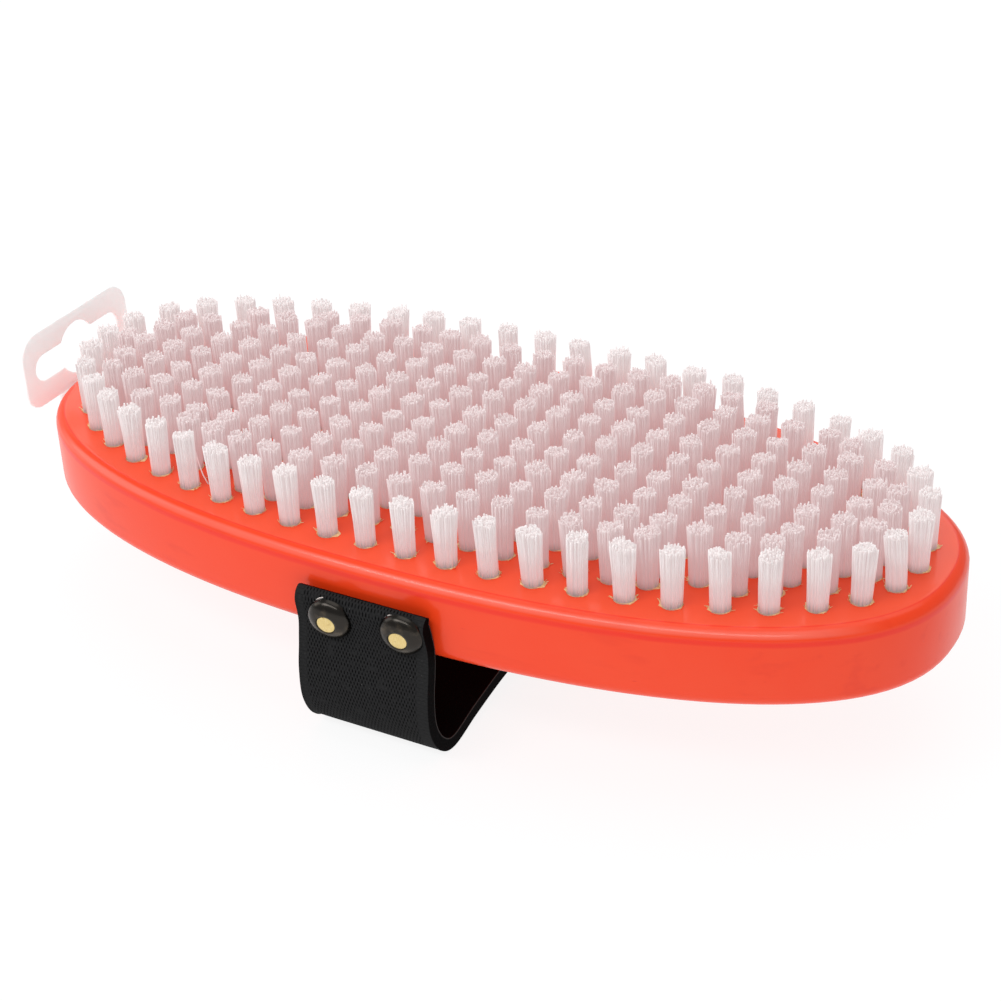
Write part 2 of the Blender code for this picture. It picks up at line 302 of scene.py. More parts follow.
@dataclass(frozen=True)
class Lacquer:
    """Orange-red satin lacquer over fine-grained wood, with painted light: a paler top, painted
    shade bands and a painted highlight along the front shoulder.
    """

    colour: Colour = (0.98, 0.051, 0.004)
    thin: Colour = (0.99, 0.078, 0.018)
    # flat: the top face's paler red, painted light for the sheen the top catches from above.
    flat: Colour = (1.0, 0.090, 0.026)
    # The deeper red of the painted shade bands.
    deep: Colour = (0.80, 0.022, 0.002)
    shade_red: Colour = (0.93, 0.014, 0.001)
    # The pale colour of the painted highlight along the front shoulder.
    painted_highlight: Colour = (1.0, 0.21, 0.15)
    # Heights of the painted shade band on the wall below the rounding, and of the painted dark
    # line along the crease.
    shade_band: tuple[float, float] = (0.0122, 0.0138)
    crease: tuple[float, float] = (0.01530, 0.015384)
    face: tuple[float, float] = (0.01530, 0.015398)
    front: tuple[float, float] = (-0.017, -0.026)
    shoulder_foot: tuple[float, float] = (0.01375, 0.01430)
    shoulder_top: tuple[float, float] = (0.01515, 0.01480)

    def make(self) -> bpy.types.Material:
        """The finish, with its grain along X."""
        board = Board("orange_lacquer")
        place = board.place()
        mottle = board.cloud(place, 55.0)
        grain = board.cloud(board.stretched(place, (0.05, 1.0, 1.0)), 1500.0, 4.0, 0.6)
        pores = board.cells(board.stretched(place, (0.18, 1.0, 1.0)), 900.0).ease(0.16, 0.02)
        rare = board.cloud(place, 320.0, 1.0).ease(0.58, 0.68)
        streaks = board.cloud(board.stretched(place, (0.08, 1.0, 1.0)), 260.0, 3.0)
        colour = board.mix(mottle.ease(0.35, 0.7) * 0.35, self.colour, self.thin)
        colour = board.mix(streaks.ease(0.56, 0.75) * 0.30, colour, self.deep)
        colour = board.mix(pores * rare * 0.55, colour, self.deep)
        height = board.part(place, "Z")
        # Painted light: the flat top is painted paler than the walls.
        colour = board.mix(height.ease(*self.face) * 0.85, colour, self.flat)
        # Painted shade: a dark band on the wall below the rounding and a dark line along the
        # crease.
        for (low, high), wander, depth in (
            (self.shade_band, 0.0006, 0.55),
            (self.crease, 0.00002, 0.40),
        ):
            level = height + (mottle - 0.5) * wander
            painted_shade = level.within(low, high, (high - low) * 0.4)
            colour = board.mix(painted_shade * (depth + mottle * 0.4), colour, self.shade_red)
        # Painted highlight: a pale band along the front shoulder.
        front = board.part(place, "Y").ease(*self.front)
        shoulder = height.ease(*self.shoulder_foot) * height.ease(*self.shoulder_top)
        colour = board.mix(shoulder * front * (0.30 + mottle * 0.35), colour, self.painted_highlight)
        peel = board.cloud(place, 700.0, 2.0)
        relief = board.bump(grain * 0.5 + peel * 0.5, 0.00006, 0.55)
        relief = board.bump(1.0 - pores * rare, 0.00005, 0.6, relief)
        return board.dress(
            base_color=colour,
            roughness=0.44 + mottle * 0.12 + streaks * 0.06,
            normal=relief,
            coat_weight=0.55,
            coat_roughness=0.17,
            specular_ior_level=0.18,
        )


@dataclass(frozen=True)
class BareWood:
    """Torn pale wood in and around the drilled holes."""

    colour: Colour = (0.82, 0.50, 0.22)
    pale: Colour = (0.95, 0.72, 0.42)
    dark: Colour = (0.36, 0.15, 0.06)

    def make(self) -> bpy.types.Material:
        """The finish, with its fibres along X."""
        board = Board("bare_wood")
        place = board.place()
        fibres = board.cloud(board.stretched(place, (0.12, 1.0, 1.0)), 5200.0, 3.0, 0.6)
        patches = board.cloud(place, 900.0, 2.0)
        colour = board.mix(fibres.ease(0.35, 0.65), self.colour, self.pale)
        colour = board.mix(patches.ease(0.58, 0.72) * 0.6, colour, self.dark)
        return board.dress(
            base_color=colour,
            roughness=0.68 + fibres * 0.2,
            normal=board.bump(fibres, 0.00008, 0.8),
            specular_ior_level=0.3,
        )


@dataclass(frozen=True)
class Nylon:
    """Translucent white filaments, painted pink low down as bounce light and darker at the tips,
    with painted emission and painted grey shade where they leave the wood.
    """

    name: str
    # low and high carry painted light: pink bounce light low down, and darker tips that offset the
    # light from above.
    low: Colour
    high: Colour
    # Colour of a painted emission that stands for light carried through the nylon.
    painted_glow: Colour
    foot: Colour = (0.60, 0.57, 0.58)
    dark: Colour = (0.0, 0.0, 0.0)
    blend: tuple[float, float] = (0.0164, 0.0229)
    foot_shade: tuple[float, float] = (0.0174, 0.0148)

    def make(self) -> bpy.types.Material:
        """The finish, graded along the filaments."""
        board = Board(self.name)
        place = board.place()
        height = board.part(place, "Z")
        strands = board.cloud(board.stretched(place, (1.0, 1.0, 0.02)), 2600.0, 2.0)
        # Painted light: pink bounce light low on the tufts, darker towards the tips.
        colour = board.mix(height.ease(*self.blend), self.low, self.high)
        colour = board.mix(strands.ease(0.55, 0.75) * 0.25, colour, self.low)
        shade = height.ease(*self.foot_shade)
        colour = board.mix(shade, colour, self.foot)
        return board.dress(
            base_color=colour,
            roughness=0.38 + strands * 0.2,
            subsurface_weight=0.7,
            subsurface_radius=Vector((1.0, 0.8, 0.8)),
            subsurface_scale=0.0030,
            specular_ior_level=0.35,
            # Painted light: a constant pink emission, fading to black in the painted shade at the
            # foot.
            emission_color=board.mix(shade * 0.6, self.painted_glow, self.dark),
            emission_strength=0.26,
        )


@dataclass(frozen=True)
class Webbing:
    """Black woven elastic, charted in metres along and round the strap, with painted shade on its
    sides and inner face.
    """

    face_width: float
    side_width: float
    rib_pitch: float
    dot_pitch: float
    plain_edge: float = 0.0012
    edge_fade: float = 0.0008
    far_plain_edge: float = 0.0020
    far_fade: float = 0.0006
    side_fade: float = 0.0001
    # Half widths of the thin pale line along the inner edge.
    pale_line_width: tuple[float, float] = (0.00020, 0.00008)
    colour: Colour = (0.0205, 0.0205, 0.0210)
    crest: Colour = (0.044, 0.044, 0.045)
    # deep: black of the weave's holes and rungs, also the painted shade on the sides and inner
    # face.
    deep: Colour = (0.0012, 0.0012, 0.0014)
    # yarn: colour of the thin pale line along the inner edge.
    yarn: Colour = (0.065, 0.065, 0.064)
    pale: Colour = (0.20, 0.20, 0.19)

    def make(self) -> bpy.types.Material:
        """The finish, with its ribs across the strap."""
        board = Board("black_webbing")
        chart = board.chart()
        along = board.part(chart, "X")
        around = board.part(chart, "Y")
        ribs = (along * (math.pi / self.rib_pitch)).sine()
        dots = (around * (2 * math.pi / self.dot_pitch)).sine()
        fuzz = board.cloud(board.stretched(chart, (1.0, 0.35, 1.0)), 5200.0, 4.0, 0.65)
        wear = board.cloud(chart, 130.0, 2.0)
        uneven = board.cloud(board.stretched(chart, (1.0, 0.4, 1.0)), 950.0, 2.0)
        lint = board.cells(chart, 820.0).ease(0.10, 0.03) * wear.ease(0.52, 0.62)
        # A thin pale line painted along the inner edge.
        inner_edge = abs(around - (self.face_width + self.side_width))
        pale_edge_line = inner_edge.ease(*self.pale_line_width)
        far_edge = self.face_width - self.far_plain_edge
        edge = around.ease(self.plain_edge, self.plain_edge + self.edge_fade)
        edge = edge * around.ease(far_edge, far_edge - self.far_fade)
        holes = (ribs * dots).ease(0.12, 0.55) * uneven.ease(0.25, 0.50) * edge
        rungs = abs(ribs).ease(0.35, 0.0)
        colour = board.mix(fuzz.ease(0.40, 0.75) * 0.45, self.colour, self.crest)
        colour = board.mix(rungs * (0.35 - 0.2 * edge), colour, self.deep)
        colour = board.mix(holes * 0.92, colour, self.deep)
        # Painted shade: the sides and inner face are painted near black, hiding the red bounce
        # light on them.
        side = around.ease(self.face_width - self.side_fade, self.face_width + self.side_fade)
        colour = board.mix(side * 0.97, colour, self.deep)
        colour = board.mix(pale_edge_line * (0.4 + 0.6 * fuzz), colour, self.yarn)
        colour = board.mix(lint * 0.4 * (1.0 - side), colour, self.pale)
        relief = board.bump(fuzz * 0.7 - holes - rungs * 0.3, 0.00010, 0.7)
        return board.dress(
            base_color=colour,
            roughness=0.72 + fuzz * 0.2,
            normal=relief,
            specular_ior_level=0.03,
        )


@dataclass(frozen=True)
class DarkMetal:
    """Blackened brass of the domed caps, with brown wear in patches and a painted floor reflection
    that makes the lower half paler brown.
    """

    colour: Colour = (0.040, 0.036, 0.032)
    # The brown of the wear and of the painted floor reflection.
    wear_and_reflection: Colour = (0.16, 0.125, 0.09)
    lower_half: tuple[float, float] = (0.0050, 0.0008)

    def make(self) -> bpy.types.Material:
        """The finish, with wear patches and a painted reflection on the lower half."""
        board = Board("blackened_metal")
        place = board.place()
        patches = board.cloud(place, 420.0, 4.0, 0.6)
        specks = board.cloud(place, 3000.0, 3.0, 0.6)
        low = board.part(place, "Z").ease(*self.lower_half)
        # Brown wear in patches, stronger on the lower half as a painted reflection of the pale
        # floor.
        wear = patches.ease(0.52, 0.78) * 0.45 + low * patches * 0.75
        colour = board.mix(wear, self.colour, self.wear_and_reflection)
        return board.dress(
            base_color=colour,
            metallic=1.0,
            roughness=0.15 + specks * 0.10 + patches * 0.08,
            normal=board.bump(specks, 0.00002, 0.6),
        )


@dataclass(frozen=True)
class Brass:
    """Dull yellow brass of the nails."""

    colour: Colour = (0.78, 0.60, 0.25)
    pale: Colour = (0.90, 0.76, 0.42)
    stain: Colour = (0.42, 0.28, 0.10)

    def make(self) -> bpy.types.Material:
        """The finish, with fine scratches and stains."""
        board = Board("nail_brass")
        place = board.place()
        scratches = board.cloud(board.stretched(place, (1.0, 1.0, 0.08)), 5200.0, 3.0, 0.6)
        stains = board.cloud(place, 1100.0, 3.0)
        colour = board.mix(scratches.ease(0.4, 0.7) * 0.6, self.colour, self.pale)
        colour = board.mix(stains.ease(0.6, 0.8) * 0.5, colour, self.stain)
        return board.dress(
            base_color=colour,
            metallic=0.85,
            roughness=0.38 + scratches * 0.16,
            normal=board.bump(scratches, 0.00003, 0.5),
        )


@dataclass(frozen=True)
class MilkyPlastic:
    """Thin flexible plastic of the hang tab, milky, painted pink towards the bottom as bounce
    light, with a painted emission that brightens it.
    """

    colour: Colour = (0.92, 0.90, 0.895)
    cloudy: Colour = (0.93, 0.925, 0.92)
    # Pink of the painted bounce light from the red block.
    painted_red_bounce: Colour = (0.93, 0.83, 0.82)
    # Colour of the painted emission that brightens the tab.
    painted_glow_colour: Colour = (0.95, 1.0, 1.0)
    lower_half: tuple[float, float] = (0.0200, 0.0120)

    def make(self) -> bpy.types.Material:
        """The finish, with cloudy patches and fine mould lines."""
        board = Board("milky_plastic")
        place = board.place()
        clouds = board.cloud(place, 160.0, 3.0)
        lines = board.cloud(board.stretched(place, (1.0, 0.06, 1.0)), 2400.0, 2.0)
        low = board.part(place, "Z").ease(*self.lower_half)
        colour = board.mix(clouds.ease(0.35, 0.7), self.colour, self.cloudy)
        # Painted light: the lower part is painted pink, as red bounce light from the block.
        colour = board.mix(low * 0.65, colour, self.painted_red_bounce)
        return board.dress(
            base_color=colour,
            roughness=0.32 + clouds * 0.12,
            normal=board.bump(lines * 0.6 + clouds * 0.4, 0.00004, 0.4),
            subsurface_weight=0.4,
            subsurface_radius=Vector((1.0, 0.7, 0.7)),
            subsurface_scale=0.002,
            alpha=0.90,
            # Painted light: a weak emission brightens the whole tab.
            emission_color=self.painted_glow_colour,
            emission_strength=0.17,
        )


@dataclass(frozen=True)
class StickyFoam:
    """Pale foam tape behind the tab's foot."""

    colour: Colour = (0.80, 0.79, 0.75)
    cell: Colour = (0.55, 0.54, 0.51)

    def make(self) -> bpy.types.Material:
        """The finish, with small open cells."""
        board = Board("foam_tape")
        cells = board.cells(board.place(), 4200.0).ease(0.45, 0.1)
        return board.dress(
            base_color=board.mix(cells * 0.7, self.colour, self.cell),
            roughness=0.85 - cells * 0.1,
            normal=board.bump(1.0 - cells, 0.00008, 0.7),
        )


@dataclass(frozen=True)
class LooseThread:
    """Pale frayed yarn."""

    colour: Colour = (0.62, 0.57, 0.54)
    light: Colour = (0.80, 0.76, 0.72)

    def make(self) -> bpy.types.Material:
        """The finish, mottled along the thread."""
        board = Board("frayed_yarn")
        fibre = board.cloud(board.place(), 6000.0, 2.0)
        return board.dress(
            base_color=board.mix(fibre, self.colour, self.light),
            roughness=0.6 + fibre * 0.2,
        )


class Palette:
    """Every finish, made once."""

    def __init__(self, strap: HandStrap) -> None:
        """Make the finishes.

        Args:
            strap: The strap, whose sizes set its weave.
        """
        self.lacquer = Lacquer().make()
        self.bare_wood = BareWood().make()
        # The two nylon copies differ only by painted light: the inner tufts are painted pinker and
        # darker, as red bounce light and shade among the tufts.
        self.outer_nylon = Nylon(
            name="white_nylon",
            low=(0.60, 0.50, 0.50),
            high=(0.51, 0.495, 0.49),
            painted_glow=(1.0, 0.80, 0.80),
        ).make()
        self.inner_nylon = Nylon(
            name="pink_lit_nylon",
            low=(0.44, 0.365, 0.365),
            high=(0.40, 0.375, 0.375),
            painted_glow=(1.0, 0.66, 0.66),
        ).make()
        self.webbing = Webbing(
            face_width=strap.width,
            side_width=strap.thickness,
            rib_pitch=strap.rib_pitch,
            dot_pitch=strap.dot_pitch,
        ).make()
        self.dark_metal = DarkMetal().make()
        self.brass = Brass().make()
        self.plastic = MilkyPlastic().make()
        self.foam = StickyFoam().make()
        self.thread = LooseThread().make()


# ---- making pieces


def make_object(
    name: str, shape: bmesh.types.BMesh, *materials: bpy.types.Material
) -> bpy.types.Object:
    """Turn a bmesh into an object at the origin.

    Args:
        name: The piece's name.
        shape: Its mesh in progress, which is freed.
        *materials: Its materials, in slot order.

    Returns:
        The new object.
    """
    mesh = make_mesh(name, shape)
    for material in materials:
        mesh.materials.append(material)
    return link_object(name, mesh)


def make_mesh(name: str, shape: bmesh.types.BMesh) -> bpy.types.Mesh:
    """Turn a bmesh into a mesh and free it."""
    mesh = bpy.data.meshes.new(name)
    shape.to_mesh(mesh)
    shape.free()
    return mesh


def link_object(name: str, data: bpy.types.ID) -> bpy.types.Object:
    """Put a mesh, light or camera into the scene."""
    item = bpy.data.objects.new(name, data)
    bpy.context.scene.collection.objects.link(item)
    return item


def aim_object(item: bpy.types.Object, place: Vector, aim: Vector, roll: float = 0.0) -> None:
    """Place a light or the camera and point it.

    Args:
        item: The light or camera.
        place: Where it stands.
        aim: The point that it faces.
        roll: Its turn about its own axis, in degrees.
    """
    look = (aim - place).to_track_quat("-Z", "Y")
    item.location = place
    item.rotation_mode = "QUATERNION"
    item.rotation_quaternion = look @ Quaternion((0, 0, 1), math.radians(roll))


def face_out(shape: bmesh.types.BMesh) -> None:
    """Point every face outwards."""
    bmesh.ops.recalc_face_normals(shape, faces=shape.faces)


def smooth_below(piece: bpy.types.Object, degrees: float) -> None:
    """Shade a piece smooth, with sharp edges above an angle."""
    piece.data.shade_smooth()
    piece.data.set_sharp_from_angle(angle=math.radians(degrees))


def bake_modifiers(piece: bpy.types.Object) -> None:
    """Make a piece's modifiers part of its mesh."""
    graph = bpy.context.evaluated_depsgraph_get()
    mesh = bpy.data.meshes.new_from_object(piece.evaluated_get(graph))
    piece.modifiers.clear()
    piece.data = mesh


def settle(piece: bpy.types.Object, slot: Slot, body: Body, *nodes: str) -> None:
    """Ride a piece on its body and let it stand for CAD nodes."""
    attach(piece, body.value)
    dress_piece(piece, slot, *nodes)


def dress_piece(piece: bpy.types.Object, slot: Slot, *nodes: str) -> None:
    """Let a piece stand for CAD nodes and report it."""
    if nodes:
        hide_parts(*nodes)
    LOG.info("%s: %d faces, for %s", piece.name, len(piece.data.polygons), nodes or "itself")


def lift(
    shape: bmesh.types.BMesh, faces: list[bmesh.types.BMFace], move: Vector
) -> tuple[list[bmesh.types.BMFace], list[bmesh.types.BMVert]]:
    """Extrude faces and move the new ones.

    Args:
        shape: The mesh in progress.
        faces: The faces to extrude.
        move: How far the new ones move.

    Returns:
        The new faces and their corners.
    """
    made = bmesh.ops.extrude_face_region(shape, geom=faces)["geom"]
    corners = [part for part in made if isinstance(part, bmesh.types.BMVert)]
    bmesh.ops.translate(shape, vec=move, verts=corners)
    return [part for part in made if isinstance(part, bmesh.types.BMFace)], corners


def add_cut(piece: bpy.types.Object, tool: bpy.types.Object) -> None:
    """Cut one object out of another with a modifier."""
    cut = piece.modifiers.new("Cut", "BOOLEAN")
    cut.operation = "DIFFERENCE"
    cut.solver = "EXACT"
    cut.object = tool


def scatter(chance: random.Random, spread: float) -> Vector:
    """A random shift on the plane, spread evenly to all sides."""
    return Vector((chance.gauss(0, 1), chance.gauss(0, 1))) * spread


# ---- block


@dataclass(frozen=True)
class Oval:
    """The block's outline, a rounded oval fuller than an ellipse."""

    half_length: float = 0.093
    half_width: float = 0.041
    power: float = 2.3

    def point(self, inset: float, angle: float) -> Vector:
        """A point of the outline, or of one that lies further in.

        Args:
            inset: Distance in from the edge.
            angle: Turn round the oval, in radians.

        Returns:
            The point in the XY plane.
        """
        across = abs(math.cos(angle)) ** (2 / self.power)
        along = abs(math.sin(angle)) ** (2 / self.power)
        return Vector(
            (
                math.copysign((self.half_length - inset) * across, math.cos(angle)),
                math.copysign((self.half_width - inset) * along, math.sin(angle)),
            )
        )

    def even_angles(self, count: int, samples: int = 3600) -> list[float]:
        """Angles of points spaced evenly along the outline.

        Args:
            count: How many points.
            samples: Steps used to measure the outline.

        Returns:
            The angles, starting at the +X end.
        """
        angles = [2 * math.pi * step / samples for step in range(samples + 1)]
        points = [self.point(0.0, angle) for angle in angles]
        travelled = [0.0]
        for before, after in zip(points, points[1:]):
            travelled.append(travelled[-1] + (after - before).length)
        found: list[float] = []
        step = 0
        for index in range(count):
            wanted = travelled[-1] * index / count
            while travelled[step + 1] < wanted:
                step += 1
            found.append(angles[step])
        return found

    def holds(self, inset: float, point: Vector) -> bool:
        """True inside the outline that lies inset further in."""
        across = abs(point.x) / (self.half_length - inset)
        along = abs(point.y) / (self.half_width - inset)
        return across**self.power + along**self.power < 1


@dataclass
class Block:
    """The drilled and lacquered wooden block."""

    oval: Oval
    thickness: float = 0.0154
    top_rounding: float = 0.0024
    bottom_rounding: float = 0.0025
    rounding_steps: int = 9
    outline_points: int = 176
    crease_width: float = 0.00026
    crease_depth: float = 0.000015
    hole_radius: float = 0.00197
    hole_depth: float = 0.0040
    nail_bar_length: float = 0.030
    hole_sides: int = 20

    def on_top(self, spot: Vector, over: float = 0.0) -> Matrix:
        """The place over a spot of the block's top."""
        return Matrix.Translation((spot.x, spot.y, self.thickness + over))

    def solid(self) -> bmesh.types.BMesh:
        """The oval plate with rounded edges and a fine crease round its top."""
        shape = bmesh.new()
        bmesh.ops.create_circle(shape, cap_ends=True, segments=self.outline_points, radius=1.0)
        for corner, angle in zip(shape.verts, self.oval.even_angles(self.outline_points)):
            corner.co = self.oval.point(0.0, angle).to_3d()
        lift(shape, shape.faces[:], Vector((0, 0, self.thickness)))
        face_out(shape)
        for height, rounding in ((0.0, self.bottom_rounding), (self.thickness, self.top_rounding)):
            rim = [
                edge
                for edge in shape.edges
                if all(abs(corner.co.z - height) < SAME_PLACE for corner in edge.verts)
            ]
            bmesh.ops.bevel(
                shape,
                geom=rim,
                offset=rounding,
                segments=self.rounding_steps,
                profile=0.5,
                affect="EDGES",
                material=-1,
            )
        top = max(shape.faces, key=lambda face: face.calc_center_median().z)
        bmesh.ops.inset_region(shape, faces=[top], thickness=self.crease_width / 4)
        for depth in (-self.crease_depth, self.crease_depth):
            bmesh.ops.inset_region(
                shape, faces=[top], thickness=self.crease_width, depth=depth
            )
        return shape

    def drills(
        self, stations: list[Vector], nails: list[Matrix], nail_radius: float
    ) -> bmesh.types.BMesh:
        """Round bars for the tuft holes and the nail holes.

        Args:
            stations: Tuft centres on the top.
            nails: Places of the nails, whose points lie along -Z.
            nail_radius: Radius of a nail hole.

        Returns:
            The bars as one mesh.
        """
        shape = bmesh.new()
        length = 2 * self.hole_depth
        bars = [(self.hole_radius, length, self.on_top(spot)) for spot in stations]
        bars += [(nail_radius, self.nail_bar_length, place) for place in nails]
        for radius, depth, place in bars:
            bmesh.ops.create_cone(
                shape,
                cap_ends=True,
                segments=self.hole_sides,
                radius1=radius,
                radius2=radius,
                depth=depth,
                matrix=place,
            )
        for face in shape.faces:
            face.material_index = 1
        return shape

    def build(
        self, palette: Palette, stations: list[Vector], nails: list[Matrix], nail_radius: float
    ) -> None:
        """The finished block.

        Args:
            palette: The finishes.
            stations: Tuft centres on the top.
            nails: Places of the nails.
            nail_radius: Radius of a nail hole.
        """
        finishes = (palette.lacquer, palette.bare_wood)
        block = make_object("lacquered_block", self.solid(), *finishes)
        drills = make_object("drills", self.drills(stations, nails, nail_radius), *finishes)
        add_cut(block, drills)
        bake_modifiers(block)
        bpy.data.objects.remove(drills)
        smooth_below(block, 15)
        settle(block, Slot.WOOD, Body.BRUSH, "block")


@dataclass
class TornRims:
    """Bare wood torn up round the drilled holes, mostly along the grain."""

    block: Block
    seed: int = 41
    sides: int = 14
    inner_lap: float = 0.00016
    least_width: float = -0.00012
    most_width: float = 0.00080
    plain_share: float = 0.5
    clearance: float = 0.00001
    lip: float = 0.00012
    thickness: float = 0.00006
    fewest_shards: int = 4
    most_shards: int = 8
    shard_spread: float = 0.45
    shard_twist: float = 0.5
    shard_distance: float = 0.00018
    shard_lengths: tuple[float, float] = (0.00030, 0.00095)
    shard_breadths: tuple[float, float] = (0.00008, 0.00020)
    shard_leans: tuple[float, float] = (0.35, 1.35)
    shard_points: tuple[float, float] = (0.1, 0.6)
    shard_flatness: float = 0.45
    shard_lift: float = 0.00005

    def rims(self, stations: list[Vector]) -> bmesh.types.BMesh:
        """Thin uneven collars round the holes.

        Args:
            stations: The holes' centres.

        Returns:
            The collars as one mesh.
        """
        chance = random.Random(self.seed)
        shape = bmesh.new()
        for station in stations:
            made = bmesh.ops.create_circle(
                shape,
                segments=self.sides,
                radius=self.block.hole_radius - self.inner_lap,
                matrix=self.block.on_top(station),
            )
            inner = made["verts"]
            loop = list({edge for corner in inner for edge in corner.link_edges})
            widened = bmesh.ops.extrude_edge_only(shape, edges=loop)["geom"]
            for corner in (part for part in widened if isinstance(part, bmesh.types.BMVert)):
                away = (corner.co.xy - station).normalized()
                along_grain = max(0.0, abs(away.x) - self.plain_share) / (1 - self.plain_share)
                share = chance.random() ** 2 * along_grain
                reach = self.least_width + self.most_width * share
                spot = station + away * (self.block.hole_radius + reach)
                corner.co = self.block.on_top(spot, self.clearance).translation
            for corner in inner:
                corner.co.z += self.lip * chance.random()
        face_out(shape)
        bmesh.ops.solidify(shape, geom=shape.faces[:], thickness=-self.thickness)
        return shape

    def splinters(self, stations: list[Vector]) -> bmesh.types.BMesh:
        """Small shards that stand up at the two ends of each hole.

        Args:
            stations: The holes' centres.

        Returns:
            The shards as one mesh.
        """
        chance = random.Random(self.seed + 1)
        shape = bmesh.new()
        for station in stations:
            for _ in range(chance.randint(self.fewest_shards, self.most_shards)):
                end = chance.choice((0.0, math.pi))
                turn = end + chance.gauss(0.0, self.shard_spread)
                away = Vector((math.cos(turn), math.sin(turn)))
                out = self.block.hole_radius + chance.uniform(0.0, self.shard_distance)
                length = chance.uniform(*self.shard_lengths)
                breadth = chance.uniform(*self.shard_breadths)
                lean = Matrix.Rotation(chance.uniform(*self.shard_leans), 4, "Y")
                swing = Matrix.Rotation(turn + chance.gauss(0.0, self.shard_twist), 4, "Z")
                flat = Matrix.Diagonal((self.shard_flatness, 1.0, 1.0, 1.0))
                place = self.block.on_top(station + away * out, self.shard_lift)
                rooted = Matrix.Translation((0, 0, length * 0.4))
                bmesh.ops.create_cone(
                    shape,
                    cap_ends=True,
                    segments=4,
                    radius1=breadth,
                    radius2=breadth * chance.uniform(*self.shard_points),
                    depth=length,
                    matrix=place @ swing @ lean @ rooted @ flat,
                )
        face_out(shape)
        return shape

    def build(self, palette: Palette, stations: list[Vector]) -> None:
        """Both pieces.

        Args:
            palette: The finishes.
            stations: The holes' centres.
        """
        for name, shape in (
            ("torn_rims", self.rims(stations)),
            ("rim_splinters", self.splinters(stations)),
        ):
            piece = make_object(name, shape, palette.bare_wood)
            settle(piece, Slot.WOOD, Body.BRUSH)


# ---- bristles


@dataclass
class TuftField:
    """The outer ring of tufts and the straight rows inside it."""

    block: Block
    ring_tufts: int = 50
    ring_arcs: int = 10
    ring_inset: float = 0.00744
    rows_each_side: int = 4
    row_pitch: float = 0.00665
    column_pitch: float = 0.00686
    column_shift: float = -0.00085
    columns_each_side: int = 13
    ring_clearance: float = 0.0052
    ring_nearest: float = 0.0022

    def ring(self) -> list[Vector]:
        """Centres of the ring's tufts."""
        oval = self.block.oval
        return [oval.point(self.ring_inset, angle) for angle in oval.even_angles(self.ring_tufts)]

    def row(self, row: int) -> list[Vector]:
        """Centres of one straight row, with its end tufts moved clear of the ring.

        Args:
            row: The row's number, 0 in the middle.

        Returns:
            The centres, from -X to +X.
        """
        oval = self.block.oval
        line = [oval.point(self.ring_inset, math.radians(step / 2)) for step in range(720)]
        stations: list[Vector] = []
        for column in range(-self.columns_each_side, self.columns_each_side + 1):
            point = Vector(
                (self.column_shift + self.column_pitch * column, self.row_pitch * row)
            )
            if not oval.holds(self.ring_inset, point):
                continue
            nearest = min(line, key=lambda spot: (spot - point).length_squared)
            inward = point - nearest
            if inward.length < self.ring_nearest:
                continue
            if inward.length < self.ring_clearance:
                point = nearest + inward.normalized() * self.ring_clearance
            stations.append(point)
        return stations

    def groups(self) -> dict[str, tuple[str, list[Vector]]]:
        """Each bristle piece's name, with the CAD node it replaces and its tufts."""
        ring = self.ring()
        share = self.ring_tufts // self.ring_arcs
        made = {
            f"ring_bristles_{arc + 1:02d}": (
                f"ring_tufts_{arc + 1:02d}",
                ring[arc * share : (arc + 1) * share],
            )
            for arc in range(self.ring_arcs)
        }
        for number, row in enumerate(range(-self.rows_each_side, self.rows_each_side + 1), 1):
            made[f"row_bristles_{number}"] = (f"row_tufts_{number}", self.row(row))
        return made

    def stations(self) -> list[Vector]:
        """Centres of all the tufts."""
        return [spot for _, spots in self.groups().values() for spot in spots]


